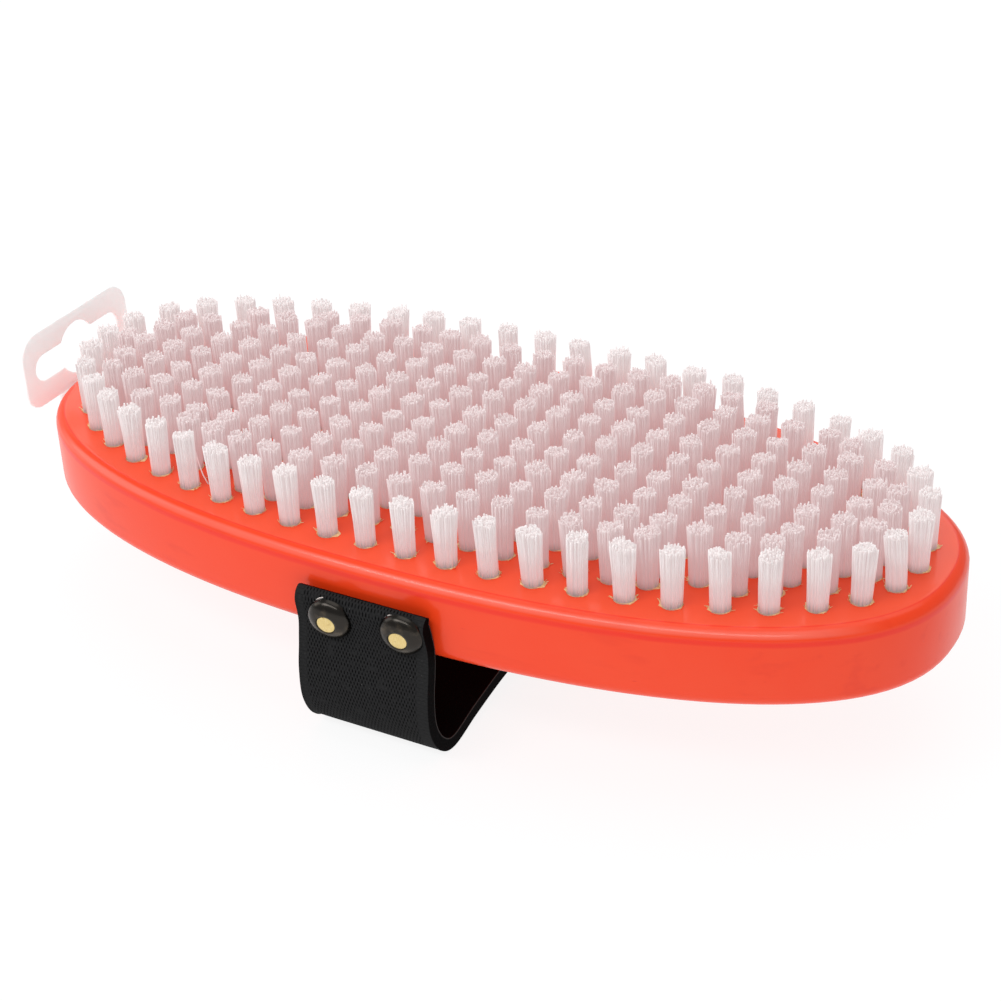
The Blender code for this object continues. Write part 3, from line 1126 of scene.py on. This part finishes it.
@dataclass
class Bristles:
    """Bundles of bent filaments, cut by hand to nearly one height."""

    field: TuftField
    seed: int = 7
    patterns: int = 14
    filament_radius: float = 0.000165
    filament_sides: int = 5
    filament_levels: int = 2
    spacing: float = 0.00031
    bundle_radius: float = 0.00173
    root_depth: float = 0.0012
    height: float = 0.0105
    cut_spread: float = 0.00028
    cut_slope: float = 0.07
    cut_slant: float = 0.45
    flare: float = 1.18
    flare_range: tuple[float, float] = (0.92, 1.09)
    size_range: tuple[float, float] = (0.985, 1.015)
    packing: float = 0.10
    tilt: float = 0.00022
    bow: float = 0.00005
    inner_stray: float = 0.00005
    outer_stray: float = 0.00007
    bend: float = 1.3

    def filament(self) -> bpy.types.Mesh:
        """One upright filament of unit height, with smooth sides and flat ends."""
        shape = bmesh.new()
        bmesh.ops.create_circle(
            shape, cap_ends=True, segments=self.filament_sides, radius=self.filament_radius
        )
        top = shape.faces[:]
        for _ in range(self.filament_levels):
            top, _ = lift(shape, top, Vector((0, 0, 1 / self.filament_levels)))
        face_out(shape)
        for face in shape.faces:
            face.smooth = len(face.verts) == 4
        return make_mesh("filament", shape)

    def roots(self, chance: random.Random) -> list[Vector]:
        """Places of one tuft's filaments, packed like straws.

        Args:
            chance: Where the small shifts come from.

        Returns:
            The places round the tuft's centre.
        """
        reach = math.ceil(self.bundle_radius / self.spacing) + 1
        turn = chance.uniform(0.0, math.pi / 3)
        found: list[Vector] = []
        for row in range(-reach, reach + 1):
            for column in range(-reach, reach + 1):
                spot = Vector((column + row / 2, row * math.sqrt(3) / 2)) * self.spacing
                spot += scatter(chance, self.spacing * self.packing)
                spot.rotate(Matrix.Rotation(turn, 2))
                if spot.length < self.bundle_radius:
                    found.append(spot)
        return found

    def pattern(self, number: int, filament: bpy.types.Mesh) -> bpy.types.Mesh:
        """One tuft's bundle, standing on the block's top at the origin.

        Args:
            number: Which of the patterns.
            filament: The filament that it repeats.

        Returns:
            The bundle's mesh.
        """
        chance = random.Random(self.seed * 100 + number)
        shape = bmesh.new()
        count = len(filament.vertices)
        flare = self.flare * chance.uniform(*self.flare_range)
        tilt = scatter(chance, self.tilt)
        slope = scatter(chance, self.cut_slope)
        for root in self.roots(chance):
            shape.from_mesh(filament)
            shape.verts.ensure_lookup_table()
            edge = (root.length / self.bundle_radius) ** 2
            stray = scatter(chance, self.inner_stray + self.outer_stray * edge)
            tip = root * flare + tilt + stray
            bow = scatter(chance, self.bow)
            cut = self.height + chance.gauss(0.0, self.cut_spread) + slope.dot(root)
            slant = scatter(chance, self.cut_slant)
            for corner in shape.verts[-count:]:
                share = corner.co.z
                ring = corner.co.xy
                middle = root.lerp(tip, share**self.bend) + bow * math.sin(math.pi * share)
                rise = -self.root_depth + share * (self.root_depth + cut)
                if share > 1 - SAME_PLACE:
                    rise += slant.dot(ring)
                corner.co = (middle.x + ring.x, middle.y + ring.y, rise)
        return make_mesh(f"bundle_{number}", shape)

    def build(self, palette: Palette) -> None:
        """Every ring and row piece.

        Args:
            palette: The finishes.
        """
        chance = random.Random(self.seed)
        filament = self.filament()
        bundles = [self.pattern(number, filament) for number in range(self.patterns)]
        for name, (node, stations) in self.field.groups().items():
            shape = bmesh.new()
            for station in stations:
                bundle = chance.choice(bundles).copy()
                turn = Matrix.Rotation(chance.uniform(0, 2 * math.pi), 4, "Z")
                size = Matrix.Scale(chance.uniform(*self.size_range), 4)
                bundle.transform(self.field.block.on_top(station) @ turn @ size)
                shape.from_mesh(bundle)
                bpy.data.meshes.remove(bundle)
            nylon = palette.outer_nylon if name.startswith("ring") else palette.inner_nylon
            piece = make_object(name, shape, nylon)
            settle(piece, Slot.NYLON, Body.BRUSH, node)
        for mesh in (filament, *bundles):
            bpy.data.meshes.remove(mesh)


# ---- strap


class Route:
    """A smooth line through a few points, measured along its length."""

    def __init__(self, points: list[Vector], steps: int = 24) -> None:
        """Thread the line.

        Args:
            points: Points that it passes through.
            steps: Short pieces between two points.
        """
        padded = [2 * points[0] - points[1], *points, 2 * points[-1] - points[-2]]
        self.line: list[Vector] = []
        for first, start, end, last in zip(padded, padded[1:], padded[2:], padded[3:]):
            for step in range(steps):
                t = step / steps
                bend = (2 * first - 5 * start + 4 * end - last) * t * t
                twist = (3 * start - 3 * end + last - first) * t * t * t
                self.line.append((2 * start + (end - first) * t + bend + twist) / 2)
        self.line.append(points[-1])
        self.travelled = [0.0]
        for before, after in zip(self.line, self.line[1:]):
            self.travelled.append(self.travelled[-1] + (after - before).length)

    @property
    def length(self) -> float:
        """The line's whole length."""
        return self.travelled[-1]

    def at(self, distance: float) -> tuple[Vector, Vector]:
        """The point at a distance along the line.

        Args:
            distance: Metres from the line's start.

        Returns:
            The point, and the direction in which the line runs there.
        """
        distance = min(max(distance, 0.0), self.length)
        index = 0
        while index < len(self.travelled) - 2 and self.travelled[index + 1] < distance:
            index += 1
        start, end = self.line[index], self.line[index + 1]
        share = (distance - self.travelled[index]) / max((end - start).length, 1e-9)
        before = self.line[max(index - 1, 0)]
        after = self.line[min(index + 2, len(self.line) - 1)]
        ahead = (end - before).lerp(after - start, share).normalized()
        return start.lerp(end, share), ahead


@dataclass
class HandStrap:
    """Woven elastic nailed across the back, hanging in a hand's loop."""

    centre_x: float = 0.0001
    drift: float = 0.0001
    spread: float = 0.022
    width: float = 0.0262
    thickness: float = 0.0022
    end_thickness: float = 0.0009
    end_taper: float = 0.0024
    rib_pitch: float = 0.00075
    dot_pitch: float = 0.00066
    steps_per_rib: int = 3
    face_columns: int = 80
    inner_columns: int = 20
    side_columns: int = 4
    relief: float = 0.00004
    selvedge: float = 0.0024
    edge_round: float = 0.0006
    edge_drop: float = 0.00022
    drop_height: float = 0.0080
    taper_power: float = 0.6
    sharp_angle: float = 50.0
    blend_end: tuple[float, float, float] = (0, 0, -0.0130)
    half_route: tuple[tuple[float, float], ...] = (
        (-0.0422, 0.0096),
        (-0.0430, 0.0080),
        (-0.0426, 0.0052),
        (-0.0423, 0.0024),
        (-0.0428, -0.0020),
        (-0.0436, -0.0070),
        (-0.0434, -0.0130),
        (-0.0409, -0.0178),
        (-0.0366, -0.0199),
        (-0.0283, -0.0181),
        (-0.0165, -0.0162),
        (0.0, -0.0154),
    )

    def route(self) -> Route:
        """The strap's centre line in the YZ plane, from the near end to the far one."""
        half = [Vector(point) for point in self.half_route]
        return Route(half + [Vector((-point.x, point.y)) for point in half[-2::-1]])

    def section(self) -> list[tuple[float, float, float]]:
        """The strap's section: place round it, X and height over the centre line."""
        half = self.width / 2
        flat = self.thickness / 2
        sides = (
            (self.face_columns, self.width, (-half, flat), (1, 0)),
            (self.side_columns, self.thickness, (half, flat), (0, -1)),
            (self.inner_columns, self.width, (half, -flat), (-1, 0)),
            (self.side_columns, self.thickness, (-half, -flat), (0, 1)),
        )
        places: list[tuple[float, float, float]] = []
        travelled = 0.0
        for columns, length, (x, height), (across, up) in sides:
            for column in range(columns):
                run = length * column / columns
                places.append((travelled + run, x + across * run, height + up * run))
            travelled += length
        return [*places, (travelled, -half, flat)]

    def is_inner(self, column: int) -> bool:
        """True for a place on the strap's inner face."""
        first = self.face_columns + self.side_columns
        return first <= column < first + self.inner_columns

    def rib(self, along: float, x: float, column: int, outer: bool) -> float:
        """Height of the woven ribs over the strap's plain face.

        Args:
            along: Metres along the strap.
            x: Place across it, from its middle.
            column: Number of the place round the section.
            outer: True on the outer face.

        Returns:
            The height, in metres.
        """
        from_edge = self.width / 2 - abs(x)
        body = min(max((from_edge - self.edge_round) / self.selvedge, 0.0), 1.0)
        phase = 2 * math.pi * along / self.rib_pitch
        wave = 0.5 + 0.5 * math.sin(phase)
        knot = 0.5 + 0.5 * math.sin(phase + math.pi * (column % 2))
        mixed = 0.6 * wave + 0.4 * knot if outer else wave
        corner = max(0.0, 1 - from_edge / self.edge_round)
        return self.relief * body * mixed - self.edge_drop * corner**2

    def shape(self) -> bmesh.types.BMesh:
        """The strap as a closed tube with ribs, charted in metres."""
        route = self.route()
        section = self.section()
        rows = round(route.length / self.rib_pitch * self.steps_per_rib)
        shape = bmesh.new()
        chart = shape.loops.layers.uv.new("chart")
        bmesh.ops.create_grid(
            shape, x_segments=rows, y_segments=len(section) - 1, size=0.5, calc_uvs=True
        )
        stations = [route.at(route.length * row / rows) for row in range(rows + 1)]
        for face in shape.faces:
            for loop in face.loops:
                row = round((loop.vert.co.x + 0.5) * rows)
                around = section[round((loop.vert.co.y + 0.5) * (len(section) - 1))][0]
                loop[chart].uv = (route.length * row / rows, around)
        for corner in shape.verts:
            row = round((corner.co.x + 0.5) * rows)
            column = round((corner.co.y + 0.5) * (len(section) - 1))
            _, x, height = section[column]
            spot, ahead = stations[row]
            outward = Vector((ahead.y, -ahead.x))
            along = route.length * row / rows
            from_end = min(along, route.length - along)
            taper = min(from_end / self.end_taper, 1.0) ** self.taper_power
            thin = self.end_thickness / self.thickness
            height *= thin + (1 - thin) * taper
            if column < self.face_columns or self.is_inner(column):
                height += math.copysign(self.rib(along, x, column, height > 0), height) * taper
            placed = spot + outward * height
            fallen = min(max(1 - placed.y / self.drop_height, 0.0), 1.0)
            across = self.centre_x + self.drift * fallen + x * (1 + self.spread * fallen)
            corner.co = (across, placed.x, placed.y)
        bmesh.ops.remove_doubles(shape, verts=shape.verts, dist=SAME_PLACE)
        bmesh.ops.holes_fill(shape, edges=[edge for edge in shape.edges if edge.is_boundary])
        face_out(shape)
        return shape

    def build(self, palette: Palette) -> None:
        """The strap, as one smooth-shaded piece.

        Args:
            palette: The finishes.
        """
        strap = make_object("elastic_strap", self.shape(), palette.webbing)
        smooth_below(strap, self.sharp_angle)
        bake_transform(strap)
        dress_piece(strap, Slot.WEBBING, "strap_end_near", "strap_end_far", "strap_loop")


# ---- nails


@dataclass
class NailSet:
    """Domed caps, the brass nails through them, and yarn that the nails pulled up."""

    wall_y: float = 0.0438
    spots: tuple[tuple[float, float], ...] = ((-0.0060, 0.0052), (0.0088, 0.0061))
    tip_down: float = 9.0
    turn_right: float = 6.0
    steps: int = 48
    cap_radius: float = 0.0042
    cap_height: float = 0.0022
    cap_wall: float = 0.0004
    seat_radius: float = 0.00178
    seat_height: float = 0.0016
    head_radius: float = 0.00175
    head_top: float = 0.00208
    shank_radius: float = 0.0009
    depth: float = 0.0145
    point_length: float = 0.0027
    rim_roll: float = 0.00012
    rim_overhang: float = 0.00006
    dome_lift: float = 0.00014
    dome_least: float = 0.00205
    hollow_least: float = 0.0019
    seat_lip: float = 0.00004
    seat_step: float = 0.00006
    head_edge: float = 0.00016
    head_depth: float = 0.0003
    head_gap: float = 0.00003
    sharp_angle: float = 32.0
    yarn_seed: int = 60
    yarn_ends: int = 4
    yarn_turns: tuple[float, float] = (112, 140)
    yarn_lengths: tuple[float, float] = (0.0012, 0.0026)
    yarn_radius: float = 0.00010
    yarn_rise: float = 0.0004
    yarn_arch: float = 0.0010
    yarn_sag: float = 0.0009

    def places(self) -> dict[str, Matrix]:
        """Each nail's name and place: +Z points away from the block."""
        found: dict[str, Matrix] = {}
        for side_name, side in (("near", -1), ("far", 1)):
            for end_name, (x, z) in zip(("left", "right"), self.spots):
                tip = math.radians(90 + self.tip_down)
                turn = Matrix.Rotation(-side * tip, 4, "X")
                swing = Matrix.Rotation(math.radians(self.turn_right), 4, "Z")
                place = Matrix.Translation((x, side * self.wall_y, z))
                found[f"{side_name}_{end_name}"] = place @ swing @ turn
        return found

    def turned(self, profile: list[tuple[float, float]]) -> bmesh.types.BMesh:
        """A closed turned solid.

        Args:
            profile: Radius and height of each corner of its half section.

        Returns:
            The solid, round +Z.
        """
        shape = bmesh.new()
        corners = [shape.verts.new((radius, 0, height)) for radius, height in profile]
        edges = [
            shape.edges.new((corner, corners[(index + 1) % len(corners)]))
            for index, corner in enumerate(corners)
        ]
        bmesh.ops.spin(
            shape,
            geom=corners + edges,
            axis=(0, 0, 1),
            cent=(0, 0, 0),
            angle=2 * math.pi,
            steps=self.steps,
            use_merge=True,
        )
        bmesh.ops.remove_doubles(shape, verts=shape.verts, dist=SAME_PLACE)
        bmesh.ops.dissolve_degenerate(shape, edges=shape.edges, dist=SAME_PLACE)
        face_out(shape)
        return shape

    def dome(
        self, radius: float, height: float, least: float, steps: int
    ) -> list[tuple[float, float]]:
        """Points of a dome from its rim up to where it is least wide.

        Args:
            radius: The dome's radius at its foot.
            height: Its full height.
            least: The radius to stop at.
            steps: Points on the way.

        Returns:
            Radius and height of each point.
        """
        last = math.acos(least / radius)
        turns = [last * step / steps for step in range(steps + 1)]
        return [(radius * math.cos(turn), height * math.sin(turn)) for turn in turns]

    def cap_profile(self) -> list[tuple[float, float]]:
        """Half section of a cap: rolled rim, dome, seat and hollow underside."""
        rolled = [
            (self.cap_radius - self.rim_roll, -self.rim_roll),
            (self.cap_radius + self.rim_overhang, 0.0),
        ]
        outer = [
            (radius, height + self.dome_lift)
            for radius, height in self.dome(self.cap_radius, self.cap_height, self.dome_least, 12)
        ]
        seat = [
            (self.seat_radius + self.seat_lip, outer[-1][1] - self.seat_step),
            (self.seat_radius, self.seat_height),
            (self.shank_radius + GAP, self.seat_height),
            (self.shank_radius + GAP, self.seat_height - self.cap_wall),
        ]
        inner_radius = self.cap_radius - self.cap_wall
        inner_height = self.cap_height - self.cap_wall
        inner = self.dome(inner_radius, inner_height, self.hollow_least, 8)
        return rolled + outer + seat + inner[::-1] + [(inner_radius, -self.rim_roll)]

    def nail_profile(self) -> list[tuple[float, float]]:
        """Half section of a nail with a slightly crowned head."""
        soft = self.head_edge
        underside = self.seat_height + self.head_gap
        return [
            (0.0, self.head_top),
            (self.head_radius * 0.55, self.head_top - 0.00001),
            (self.head_radius - soft, self.head_top - 0.00005),
            (self.head_radius - soft * 0.3, self.head_top - soft * 0.7),
            (self.head_radius, self.head_top - self.head_depth),
            (self.head_radius, underside),
            (self.shank_radius, underside),
            (self.shank_radius, self.point_length - self.depth),
            (0.0, -self.depth),
        ]

    def yarn(self, place: Matrix, seed: int) -> bmesh.types.BMesh:
        """Frayed yarn ends over a cap's upper left edge.

        Args:
            place: The cap's place.
            seed: Which ends.

        Returns:
            The ends as one mesh.
        """
        chance = random.Random(seed)
        shape = bmesh.new()
        side = -1.0 if place.translation.y < 0 else 1.0
        for _ in range(self.yarn_ends):
            turn = math.radians(chance.uniform(*self.yarn_turns))
            radius = self.cap_radius - self.yarn_radius
            foot = place.translation + Vector((math.cos(turn), 0, math.sin(turn))) * radius
            heading = Vector((chance.uniform(0.2, 1.0), 0, chance.uniform(0.25, 0.6))).normalized()
            length = chance.uniform(*self.yarn_lengths)
            points: list[Vector] = []
            for share in (0.0, 0.3, 0.6, 1.0):
                out = side * (self.yarn_rise + self.yarn_arch * share * (1 - share))
                curve = Vector((0, out, -self.yarn_sag * share**2))
                points.append(foot + heading * length * share + curve)
            lay_fibre(shape, points, self.yarn_radius)
        face_out(shape)
        return shape

    def build(self, palette: Palette) -> None:
        """Every cap, nail and yarn end.

        Args:
            palette: The finishes.
        """
        for number, (name, place) in enumerate(self.places().items()):
            for kind, profile, finish, slot, node in (
                ("domed_cap", self.cap_profile(), palette.dark_metal, Slot.CAP, "cap"),
                ("brass_nail", self.nail_profile(), palette.brass, Slot.BRASS, "nail"),
            ):
                shape = self.turned(profile)
                bmesh.ops.transform(shape, matrix=place, verts=shape.verts)
                piece = make_object(f"{kind}_{name}", shape, finish)
                smooth_below(piece, self.sharp_angle)
                settle(piece, slot, Body.BRUSH, f"{node}_{name}")
            ends = self.yarn(place, self.yarn_seed + number)
            yarn = make_object(f"yarn_ends_{name}", ends, palette.thread)
            smooth_below(yarn, FIBRE_SHARP_ANGLE)
            settle(yarn, Slot.WEBBING, Body.BRUSH)


def lay_fibre(shape: bmesh.types.BMesh, points: list[Vector], radius: float) -> None:
    """Add a thin closed fibre along a line.

    Args:
        shape: The mesh that it joins.
        points: The line's points.
        radius: The fibre's radius.
    """
    ahead = (points[1] - points[0]).normalized()
    start = Matrix.Translation(points[0]) @ ahead.to_track_quat("Z", "Y").to_matrix().to_4x4()
    made = bmesh.ops.create_circle(
        shape, cap_ends=True, segments=FIBRE_SIDES, radius=radius, matrix=start
    )
    top = list({face for corner in made["verts"] for face in corner.link_faces})
    heading = ahead
    for before, after in zip(points, points[1:]):
        top, corners = lift(shape, top, after - before)
        turned = (after - before).normalized()
        swing = heading.rotation_difference(turned).to_matrix()
        bmesh.ops.rotate(shape, cent=after, matrix=swing, verts=corners)
        heading = turned


# ---- hang tab


@dataclass
class HangTab:
    """The folding hanger: flag, thin fold, foot and the tape behind it."""

    outer_x: float = -0.0949
    thickness: float = 0.0008
    width: float = 0.0332
    bottom: float = 0.0127
    top: float = 0.0283
    top_corner: float = 0.0050
    bottom_corner: float = 0.0038
    slot_length: float = 0.0264
    slot_height: float = 0.0054
    bump_radius: float = 0.0054
    slot_z: float = 0.0204
    foot_width: float = 0.0140
    foot_bottom: float = 0.0030
    foot_top: float = 0.0123
    pad_thickness: float = 0.0005
    lean_degrees: float = 0.8
    corner_steps: int = 10
    foot_corner: float = 0.0012
    edge_rounding: float = 0.00022
    sharp_angle: float = 32.0
    web_thickness: float = 0.00032
    web_height: float = 0.0016
    web_margin: float = 0.0006
    web_inset: float = 0.00005
    bend_half: float = 0.00045

    def corner(
        self, y: float, z: float, radius: float, first: float, sweep: float
    ) -> list[Vector]:
        """Points round a corner's centre on the plane X = 0, its turns in degrees.

        Args:
            y: The centre's place across the tab.
            z: The centre's height.
            radius: The corner's radius.
            first: Where the first point lies.
            sweep: How far the corner turns.

        Returns:
            The points, in order.
        """
        points: list[Vector] = []
        for step in range(self.corner_steps + 1):
            turn = math.radians(first + sweep * step / self.corner_steps)
            points.append(Vector((0, y + radius * math.cos(turn), z + radius * math.sin(turn))))
        return points

    def slot_outline(self) -> list[Vector]:
        """The hanging slot: a long stadium with a round bump above and below."""
        end = self.slot_height / 2
        reach = self.slot_length / 2 - end
        meet = math.degrees(math.asin(end / self.bump_radius))
        over = 180 - 2 * meet
        z = self.slot_z
        points = self.corner(reach, z, end, -90, 180)
        points += self.corner(0, z, self.bump_radius, meet, over)
        points += self.corner(-reach, z, end, 90, 180)
        points += self.corner(0, z, self.bump_radius, 180 + meet, over)
        return points

    def plate(self, outline: list[Vector], inner_x: float, thickness: float) -> bmesh.types.BMesh:
        """A flat plate that stands across X.

        Args:
            outline: Its outline on the plane X = 0.
            inner_x: Where its face towards the block lies.
            thickness: How far it reaches away from the block.

        Returns:
            The closed plate.
        """
        shape = bmesh.new()
        shape.faces.new([shape.verts.new(point) for point in outline])
        lift(shape, shape.faces[:], Vector((-thickness, 0, 0)))
        bmesh.ops.translate(shape, vec=(inner_x, 0, 0), verts=shape.verts)
        face_out(shape)
        return shape

    def soften(self, piece: bpy.types.Object, width: float) -> None:
        """Round a plate's sharp edges and shade it."""
        rounding = piece.modifiers.new("Soft edges", "BEVEL")
        rounding.width = width
        rounding.segments = 3
        rounding.limit_method = "ANGLE"
        rounding.angle_limit = math.radians(50)
        bake_modifiers(piece)
        smooth_below(piece, self.sharp_angle)

    def flag(self, palette: Palette) -> None:
        """The flag with its slot, leaning out a little.

        Args:
            palette: The finishes.
        """
        half, low, high = self.width / 2, self.bottom_corner, self.top_corner
        outline = self.corner(half - low, self.bottom + low, low, -90, 90)
        outline += self.corner(half - high, self.top - high, high, 0, 90)
        outline += self.corner(-half + high, self.top - high, high, 90, 90)
        outline += self.corner(-half + low, self.bottom + low, low, 180, 90)
        inner_x = self.outer_x + self.thickness
        sheet = self.plate(outline, inner_x, self.thickness)
        flag = make_object("hang_flag_plate", sheet, palette.plastic)
        stamp = self.plate(self.slot_outline(), inner_x + self.thickness, 3 * self.thickness)
        punch = make_object("punch", stamp, palette.plastic)
        add_cut(flag, punch)
        self.soften(flag, self.edge_rounding)
        bpy.data.objects.remove(punch)
        hinge = Matrix.Translation((self.outer_x, 0, self.fold_z))
        lean = Matrix.Rotation(-math.radians(self.lean_degrees), 4, "Y")
        flag.data.transform(hinge @ lean @ hinge.inverted())
        settle(flag, Slot.PLASTIC, Body.HANG_FLAG, "tab_flag")

    @property
    def fold_z(self) -> float:
        """Height of the fold."""
        return (self.foot_top + self.bottom) / 2

    def foot_plate(
        self, name: str, inner_x: float, thickness: float, finish: bpy.types.Material
    ) -> bpy.types.Object:
        """A plate of the foot's outline.

        Args:
            name: The piece's name.
            inner_x: Where its face towards the block lies.
            thickness: Its thickness.
            finish: Its material.

        Returns:
            The plate's object.
        """
        half, soft = self.foot_width / 2, self.foot_corner
        outline = self.corner(half - soft, self.foot_bottom + soft, soft, -90, 90)
        outline += [Vector((0, half, self.foot_top)), Vector((0, -half, self.foot_top))]
        outline += self.corner(-half + soft, self.foot_bottom + soft, soft, 180, 90)
        piece = make_object(name, self.plate(outline, inner_x, thickness), finish)
        self.soften(piece, thickness * 0.25)
        return piece

    def fold(self, palette: Palette) -> None:
        """The thin web that joins foot and flag.

        Args:
            palette: The finishes.
        """
        shape = bmesh.new()
        bmesh.ops.create_grid(shape, x_segments=12, y_segments=10, size=0.5)
        x = self.outer_x + self.web_inset + self.web_thickness
        for corner in shape.verts:
            y = corner.co.x * (self.foot_width - self.web_margin)
            corner.co = (x, y, self.fold_z + corner.co.y * self.web_height)
        bmesh.ops.solidify(shape, geom=shape.faces[:], thickness=self.web_thickness)
        face_out(shape)
        piece = make_object("fold_web", shape, palette.plastic)
        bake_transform(piece)
        dress_piece(piece, Slot.PLASTIC)

    def build(self, palette: Palette) -> None:
        """Flag, fold, foot and tape.

        Args:
            palette: The finishes.
        """
        self.flag(palette)
        self.fold(palette)
        inner_x = self.outer_x + self.thickness
        foot = self.foot_plate("tab_foot_plate", inner_x, self.thickness, palette.plastic)
        settle(foot, Slot.PLASTIC, Body.BRUSH, "tab_foot")
        pad_x = inner_x + GAP + self.pad_thickness
        pad = self.foot_plate("foam_tape_pad", pad_x, self.pad_thickness, palette.foam)
        settle(pad, Slot.FOAM, Body.BRUSH, "tab_pad")


# ---- stray fibre


@dataclass
class StrayFilament:
    """One filament that has sprung out of its tuft near the left end."""

    radius: float = 0.00012
    route: tuple[tuple[float, float, float], ...] = (
        (-0.0420, -0.0283, 0.0153),
        (-0.0432, -0.0281, 0.0170),
        (-0.0441, -0.0277, 0.0187),
        (-0.0450, -0.0274, 0.0218),
        (-0.0461, -0.0266, 0.0250),
    )

    def build(self, palette: Palette) -> None:
        """The filament.

        Args:
            palette: The finishes.
        """
        shape = bmesh.new()
        lay_fibre(shape, [Vector(point) for point in self.route], self.radius)
        face_out(shape)
        piece = make_object("stray_filament", shape, palette.outer_nylon)
        smooth_below(piece, FIBRE_SHARP_ANGLE)
        settle(piece, Slot.NYLON, Body.BRUSH)


# ---- studio


@dataclass(frozen=True)
class Softbox:
    """One soft area light."""

    name: str
    place: tuple[float, float, float]
    size: tuple[float, float]
    power: float

    def build(self, aim: Vector) -> None:
        """Hang the light and point it.

        Args:
            aim: The point that it faces.
        """
        lamp = bpy.data.lights.new(self.name, "AREA")
        lamp.shape = "RECTANGLE"
        lamp.size, lamp.size_y = self.size
        lamp.energy = self.power
        aim_object(link_object(self.name, lamp), Vector(self.place), aim)


@dataclass
class Studio:
    """Pale floor, soft lights and the camera."""

    camera_place: tuple[float, float, float] = (0.188807, -0.313708, 0.220894)
    camera_aim: tuple[float, float, float] = (0.010101, -0.010463, 0.0154)
    camera_roll: float = -2.717
    lens: float = 80.896
    sensor: float = 36.0
    floor_half: float = 3.0
    floor_colour: Colour = (0.15, 0.15, 0.15)
    floor_tint: Colour = (0.14, 0.14, 0.145)
    floor_glow: float = 0.88
    floor_gap: float = 0.0001
    white: Colour = (1.0, 1.0, 1.0)
    world_glow: float = 0.38
    boxes_aim: tuple[float, float, float] = (0.0, 0.0, 0.005)
    boxes: tuple[Softbox, ...] = (
        Softbox("key_box", (-0.50, -0.74, 0.96), (0.60, 0.50), 1.6),
        Softbox("top_box", (0.05, 0.25, 1.10), (1.1, 1.1), 4.2),
        Softbox("strip_box", (-0.02, -0.70, 0.86), (1.30, 0.20), 4.4),
        Softbox("left_box", (-1.00, -0.25, 0.45), (0.6, 0.6), 1.6),
        Softbox("back_box", (-0.55, 1.00, 0.62), (1.3, 0.8), 3.6),
    )

    def floor(self, height: float) -> None:
        """The plain floor under the brush.

        Args:
            height: The object's lowest point.
        """
        board = Board("pale_floor")
        tone = board.cloud(board.place(), 3.0, 2.0)
        board.dress(
            base_color=board.mix(tone, self.floor_colour, self.floor_tint),
            roughness=0.9,
            specular_ior_level=0.0,
            emission_color=self.white,
            emission_strength=self.floor_glow,
        )
        shape = bmesh.new()
        bmesh.ops.create_grid(shape, x_segments=1, y_segments=1, size=self.floor_half)
        bmesh.ops.translate(shape, vec=(0, 0, height - self.floor_gap), verts=shape.verts)
        floor = make_object("floor", shape, board.material)
        floor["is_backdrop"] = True

    def lights(self) -> None:
        """The softboxes and the pale surroundings."""
        for box in self.boxes:
            box.build(Vector(self.boxes_aim))
        world = bpy.data.worlds.new("pale_room")
        bpy.context.scene.world = world
        world.use_nodes = True
        background = world.node_tree.nodes["Background"]
        background.inputs["Color"].default_value = (*self.white, 1.0)
        background.inputs["Strength"].default_value = self.world_glow

    def camera(self) -> None:
        """The camera in front, to the right and above."""
        data = bpy.data.cameras.new("camera")
        data.lens = self.lens
        data.sensor_width = self.sensor
        data.clip_start = 0.01
        camera = link_object("camera", data)
        place, aim = Vector(self.camera_place), Vector(self.camera_aim)
        aim_object(camera, place, aim, self.camera_roll)
        bpy.context.scene.camera = camera


def main() -> None:
    logging.basicConfig(level=logging.INFO, format="%(name)s %(message)s")
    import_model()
    bpy.context.scene.view_settings.view_transform = "Standard"
    studio = Studio()
    studio.camera()
    strap = HandStrap()
    palette = Palette(strap)
    block = Block(Oval())
    field = TuftField(block)
    nails = NailSet()
    stations = field.stations()
    block.build(palette, stations, list(nails.places().values()), nails.shank_radius + GAP)
    TornRims(block).build(palette, stations)
    Bristles(field).build(palette)
    StrayFilament().build(palette)
    strap.build(palette)
    nails.build(palette)
    HangTab().build(palette)
    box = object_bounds()
    studio.floor(box[0].z)
    studio.lights()


if __name__ == "__main__":
    main()
